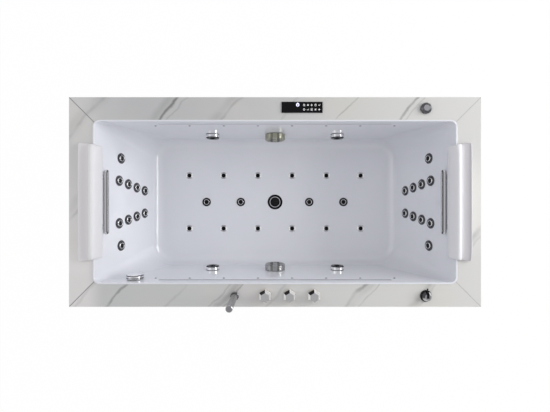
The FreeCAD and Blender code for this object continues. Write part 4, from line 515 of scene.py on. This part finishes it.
# Painted highlight: white, not metallic, on the two sides of each nozzle.
sideways = abs(east) - abs(north)
painted_glint = sideways.ramp(0.001, 0.005)
flange_and_glint = nozzle_chrome.mix(painted_glint, (0.62, 0.62, 0.65), (1.0, 1.0, 1.0))
nozzle_chrome.paint("Base Color", nozzle_chrome.mix(mouth, flange_and_glint, (0.003, 0.003, 0.004)))
nozzle_chrome.paint("Metallic", (1 - mouth) * sideways.ramp(0.001, 0.005, 1, 0))
nozzle_chrome.paint("Roughness", nozzle_chrome.noise(60, 2).ramp(0.3, 0.7, 0.10, 0.2))
dress(nozzle_chrome, "floor_air_nozzles")
dark_chrome = Finish("dark_chrome", (0.16, 0.16, 0.17), metallic=1.0, roughness=0.12)
dark_chrome.paint("Roughness", dark_chrome.noise(60, 3).ramp(0.3, 0.75, 0.09, 0.18))
dress(dark_chrome, "wall_air_nozzles")


# ---- floor waste ---------------------------------------------------------------------------------
# A black flange with one bright ring inside it, in the middle of the floor, and a black plastic
# plug that a stem guides as it lifts.

waste_ring = 0.0274                     # radius
waste_flange = Finish("waste_flange", (0.004, 0.004, 0.005), roughness=0.16, specular_ior_level=0.12)
x, y, z = waste_flange.axes()
ring = abs(x.distance(y) - waste_ring).ramp(0.0010, 0.0018, 1, 0)
waste_flange.paint("Base Color", waste_flange.mix(ring, (0.004, 0.004, 0.005), (0.75, 0.75, 0.78)))
waste_flange.paint("Metallic", ring)
waste_flange.paint("Roughness", waste_flange.noise(50, 2).ramp(0.3, 0.7, 0.12, 0.22))
dress(waste_flange, "waste_body")
dress(black_plastic, "drain_plug")


# ---- suction covers ------------------------------------------------------------------------------
# A slotted cover of brushed metal on each long wall, through which the pump draws. The one at the
# back looks warmer, and two dark bands are painted on both as reflections.

reflection_band_middle = 0.017                     # to each side of the cover's middle
brushed_metal = Finish("brushed_metal", (0.42, 0.42, 0.38), metallic=1.0, roughness=0.34)
stretched = brushed_metal.node("ShaderNodeVectorMath", {"operation": "MULTIPLY"},
                               {0: brushed_metal.place(), 1: (0.06, 1.0, 1.0)})
streaks = brushed_metal.noise(260, 2, stretched)
x, y, z = brushed_metal.axes()
# Painted reflections: two dark bands, one to each side of the cover's middle.
reflection_bands = abs(abs(x) - reflection_band_middle).ramp(0.003, 0.010, 1, 0)
metal = brushed_metal.mix(y.ramp(-0.1, 0.1), (0.40, 0.40, 0.40), (0.42, 0.42, 0.33))
brushed_metal.paint("Base Color", brushed_metal.mix(reflection_bands * 0.75, metal, (0.10, 0.10, 0.085)))
brushed_metal.paint("Roughness", streaks.ramp(0.3, 0.7, 0.26, 0.42))
brushed_metal.bump(streaks, distance=0.00005)
dress(brushed_metal, "suction_covers")


# ---- valve knobs ---------------------------------------------------------------------------------
# Three six-sided brass knobs, chrome-plated and polished, on the valves in the front slab. Their
# reflections are painted on the facets: with the back at twelve, the facet at eleven is painted
# nearly black and those at two and nine white. The tops are painted a darker grey than the sides.

faceted_chrome = Finish("faceted_chrome", (0.86, 0.86, 0.86), metallic=1.0, roughness=0.09)
x, y, z = faceted_chrome.facing()
at_eleven = x * -0.5 + y * 0.866
at_two = x * 0.866 + y * 0.5
at_nine = x * -1
# Painted reflections: a nearly black facet at eleven, white facets at two and nine.
painted_dark_facet = at_eleven.ramp(0.80, 0.86)
painted_white_facet = at_two.most(at_nine).ramp(0.78, 0.86)
plate_and_reflections = faceted_chrome.mix(z.above(0.9), (0.80, 0.80, 0.79), (0.66, 0.66, 0.65))
plate_and_reflections = faceted_chrome.mix(painted_dark_facet, plate_and_reflections, (0.015, 0.015, 0.017))
faceted_chrome.paint("Base Color", faceted_chrome.mix(painted_white_facet, plate_and_reflections, (0.95, 0.95, 0.95)))
faceted_chrome.paint("Roughness", (painted_white_facet - painted_dark_facet * 0.4).ramp(0, 1, 0.08, 0.42))
faceted_chrome.paint("Metallic", 1 - painted_white_facet)
dress(faceted_chrome, "hot_knob", "diverter_knob", "cold_knob")


# ---- mixer ---------------------------------------------------------------------------------------
# A cast base and lever in black chrome, with a domed cap of brighter plate that turns with the
# lever. A reflection is painted on the cap, darker on its side towards the back and left.

black_chrome = Finish("black_chrome", (0.025, 0.025, 0.028), metallic=1.0, roughness=0.14)
black_chrome.paint("Roughness", black_chrome.noise(60, 3).ramp(0.3, 0.75, 0.1, 0.2))
dress(black_chrome, "mixer_base", "mixer_lever")
dome_chrome = Finish("dome_chrome", (0.42, 0.42, 0.43), metallic=1.0, roughness=0.12)
x, y, z = dome_chrome.facing()
# Painted reflection: the cap darkens towards the back and left.
dark_reflection_side = (y * 0.6 - x * 0.8).ramp(0.25, 0.6)
dome_chrome.paint("Base Color", dome_chrome.mix(dark_reflection_side, (0.42, 0.42, 0.43), (0.06, 0.06, 0.065)))
dress(dome_chrome, "mixer_cap")


# ---- hand shower ---------------------------------------------------------------------------------
# A stick shower of drawn brass tube with a satin chrome plate. It stands in a holder of darker
# plate on the deck, and lifts straight out.

satin_chrome = Finish("satin_chrome", (0.36, 0.36, 0.37), metallic=1.0, roughness=0.22)
satin_chrome.paint("Roughness", satin_chrome.noise(60, 3).ramp(0.3, 0.75, 0.18, 0.28))
dress(satin_chrome, "hand_shower")
dress(dark_chrome, "hand_shower_holder")


# ---- air control ---------------------------------------------------------------------------------
# A low round knob on a plated brass body, which lets air into the water jets. It has a dark knurled
# rim round a satin grey top.

ribs = 36
air_dial = Finish("air_dial", (0.3, 0.3, 0.3), metallic=1.0, roughness=0.25)
low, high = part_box("air_control_knob")
x, y, z = air_dial.axes()
east, north = x - (low[0] + high[0]) / 2, y - (low[1] + high[1]) / 2
top = east.distance(north).ramp(0.0125, 0.0142, 1, 0)
knurl = (north.sum("ARCTAN2", north, east) * ribs).alone("SINE")
rim = air_dial.mix(knurl.ramp(-0.2, 0.9), (0.015, 0.015, 0.018), (0.20, 0.20, 0.22))
air_dial.paint("Base Color", air_dial.mix(top, rim, (0.36, 0.36, 0.38)))
air_dial.paint("Roughness", top.ramp(0, 1, 0.15, 0.38))
dress(air_dial, "air_control_knob")
dress(dark_chrome, "air_control_body")


# ---- touch panel ---------------------------------------------------------------------------------
# A plate of black glass on a sealed box. Ten white touch marks are printed on it in two rows,
# with a faint painted glow, beside one symbol that is lit.

panel_glass = Finish("black_panel_glass", (0.004, 0.004, 0.005), roughness=0.05, specular_ior_level=0.15)
panel_glass.paint("Roughness", panel_glass.noise(25, 3).ramp(0.35, 0.7, 0.04, 0.09))
dress(panel_glass, "control_panel_glass")
# Painted glow: the printed marks glow faintly, though nothing lights them.
print_with_painted_glow = Finish("printed_marks", (0.7, 0.7, 0.7), roughness=0.4, emission_color=(0.9, 0.9, 0.92, 1),
                 emission_strength=0.35)
lit = Finish("lit_symbol", (0.7, 0.72, 0.9), roughness=0.4, emission_color=(0.72, 0.72, 1.0, 1),
             emission_strength=1.0)

glass_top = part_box("control_panel_glass")[1][2] + 0.0001
print_depth = 0.0003
first_x, first_y = 0.127, 0.4225        # middle of the mark at the back and left
column_pitch, row_pitch = 0.0165, 0.0195
symbol_x, symbol_y = 0.0990, 0.4235


def ring_mark(work, x, y, radius, width):
    """A ring, or a disc where the width is the whole radius."""
    made = bmesh.ops.create_circle(work, cap_ends=True, segments=20, radius=radius,
                                   matrix=Matrix.Translation((x, y, glass_top)))
    if width < radius:
        disc = list(made["verts"][0].link_faces)
        bmesh.ops.inset_region(work, faces=disc, thickness=width, use_boundary=True, use_even_offset=True)
        bmesh.ops.delete(work, geom=disc, context="FACES_ONLY")


def bar_mark(work, x, y, length, width, turn=0.0):
    spot = Matrix.Translation((x, y, glass_top)) @ Matrix.Rotation(math.radians(turn), 4, "Z")
    bmesh.ops.create_grid(work, x_segments=1, y_segments=1, size=0.5,
                          matrix=spot @ Matrix.Diagonal((length, width, 1, 1)))


def set_on_glass(name, work, finish):
    """Give flat marks their depth and fix them to the panel."""
    bmesh.ops.recalc_face_normals(work, faces=work.faces[:])
    grown = bmesh.ops.extrude_face_region(work, geom=work.faces[:])["geom"]
    raised = [part for part in grown if isinstance(part, bmesh.types.BMVert)]
    bmesh.ops.translate(work, verts=raised, vec=(0, 0, print_depth))
    bmesh.ops.recalc_face_normals(work, faces=work.faces[:])
    made = as_object(name, work, finish)
    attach(made, "bath")


marks = bmesh.new()
for column in range(5):
    for row in range(2):
        mark_x, mark_y = first_x + column_pitch * column, first_y - row_pitch * row
        kind = (column + row * 3) % 5
        if kind == 0:
            for line in (-1, 0, 1):
                bar_mark(marks, mark_x, mark_y + 0.0034 * line, 0.0088, 0.0016)
        elif kind == 1:
            bar_mark(marks, mark_x, mark_y, 0.0092, 0.0020, 45)
            bar_mark(marks, mark_x, mark_y, 0.0092, 0.0020, -45)
        elif kind == 2:
            ring_mark(marks, mark_x, mark_y, 0.0026, 0.0026)
            bar_mark(marks, mark_x, mark_y, 0.0100, 0.0013)
            bar_mark(marks, mark_x, mark_y, 0.0013, 0.0100)
        elif kind == 3:
            ring_mark(marks, mark_x, mark_y, 0.0046, 0.0014)
            bar_mark(marks, mark_x, mark_y + 0.0030, 0.0014, 0.0050)
        else:
            bar_mark(marks, mark_x - 0.002, mark_y - 0.001, 0.0052, 0.0016, -45)
            bar_mark(marks, mark_x + 0.002, mark_y, 0.0080, 0.0016, 55)
set_on_glass("panel_marks", marks, print_with_painted_glow)

symbol = bmesh.new()
ring_mark(symbol, symbol_x, symbol_y, 0.0072, 0.0030)
bar_mark(symbol, symbol_x, symbol_y + 0.0055, 0.0030, 0.0080)
set_on_glass("panel_lit_symbol", symbol, lit)


# ---- hidden frame, pipes and machines ------------------------------------------------------------
# Under the deck everything is plain: powder-coated tube, zinc-plated feet, white pressure pipe,
# grey mouldings, a dark enamelled motor and brass valves.

frame_paint = Finish("grey_powder_coat", (0.34, 0.35, 0.37), roughness=0.5)
frame_paint.bump(frame_paint.noise(400, 2), distance=0.0002)
dress(frame_paint, "steel_frame")
zinc = Finish("zinc_plate", (0.55, 0.55, 0.54), metallic=1.0, roughness=0.35)
zinc.paint("Roughness", zinc.noise(80, 3).ramp(0.3, 0.7, 0.25, 0.45))
dress(zinc, "levelling_feet", "hex_nuts")
white_pipe = Finish("white_pipe", (0.62, 0.63, 0.64), roughness=0.4)
white_pipe.paint("Roughness", white_pipe.noise(20, 3).ramp(0.3, 0.7, 0.3, 0.5))
dress(white_pipe, "pressure_pipes", "suction_pipe", "air_pipes", "waste_pipe", "pump_impeller")
grey_moulding = Finish("grey_moulding", (0.14, 0.145, 0.15), roughness=0.5)
grey_moulding.bump(grey_moulding.noise(500, 2), distance=0.0002)
dress(grey_moulding, "jet_nuts", "side_jet_bodies", "suction_bodies", "overflow_body",
      "control_panel_box", "pump_volute", "air_blower", "control_box")
enamel = Finish("dark_enamel", (0.03, 0.04, 0.055), roughness=0.35)
enamel.bump(enamel.noise(120, 2), distance=0.0003)
dress(enamel, "pump_motor")
brass = Finish("cast_brass", (0.62, 0.46, 0.20), metallic=1.0, roughness=0.3)
brass.paint("Roughness", brass.noise(90, 3).ramp(0.3, 0.7, 0.2, 0.42))
dress(brass, "valve_bodies")


# ---- studio --------------------------------------------------------------------------------------
# A pale floor that looks white to the camera and in the metal, a large soft lamp on the right and
# a weaker one high on the left. The white air shows in the metal too, greyer straight overhead.

floor_reach = 14
work = bmesh.new()
bmesh.ops.create_grid(work, x_segments=1, y_segments=1, size=floor_reach)
pale_floor = Finish("pale_floor", (0.85, 0.85, 0.85), roughness=0.9)
to_camera, to_gloss, through_glass = pale_floor.outputs(
    "ShaderNodeLightPath", {}, ("Is Camera Ray", "Is Glossy Ray", "Is Transmission Ray"))
lit_share = to_camera.most(to_gloss).most(through_glass) * 0.985
glow = pale_floor.node("ShaderNodeEmission", {}, {"Color": (1, 1, 1, 1), "Strength": 1.0})
plain = Wire(pale_floor, pale_floor.shader.outputs[0])
blend = pale_floor.node("ShaderNodeMixShader", {}, {0: lit_share, 1: plain, 2: glow})
pale_floor.tree.links.new(blend.socket, pale_floor.tree.nodes["Material Output"].inputs["Surface"])
as_object("studio_floor", work, pale_floor)


def soft_lamp(name, place, target, size, power):
    data = bpy.data.lights.new(name, "AREA")
    data.shape = "RECTANGLE"
    data.size, data.size_y = size
    data.energy = power
    lamp = bpy.data.objects.new(name, data)
    bpy.context.scene.collection.objects.link(lamp)
    lamp.location = place
    lamp.rotation_euler = (Vector(target) - Vector(place)).to_track_quat("-Z", "Y").to_euler()
    lamp.visible_camera = False


soft_lamp("key_right", (3.2, 0.6, 1.8), (-0.3, 0, 0.4), (2.4, 1.6), 72)
soft_lamp("fill_left", (-3.0, 0.5, 3.0), (0, 0, 0.4), (2.6, 2.6), 14)

world = bpy.data.worlds.new("studio_air")
bpy.context.scene.world = world
world.use_nodes = True
air = Wiring(world.node_tree)
direction = air.node("ShaderNodeTexCoord", {}, {}, "Generated")
height = air.node("ShaderNodeSeparateXYZ", {}, {0: direction}, 2)
in_metal = air.node("ShaderNodeValToRGB", {"stops": ((0.60, (1.0, 1.0, 1.0)), (0.95, (0.55, 0.55, 0.57)))},
                    {0: height})
to_matt, to_camera = air.outputs("ShaderNodeLightPath", {}, ("Is Diffuse Ray", "Is Camera Ray"))
colour = air.mix(to_camera, air.mix(to_matt, in_metal, (0.625, 0.625, 0.64)), (1, 1, 1))
air.tree.links.new(colour.socket, air.tree.nodes["Background"].inputs["Color"])
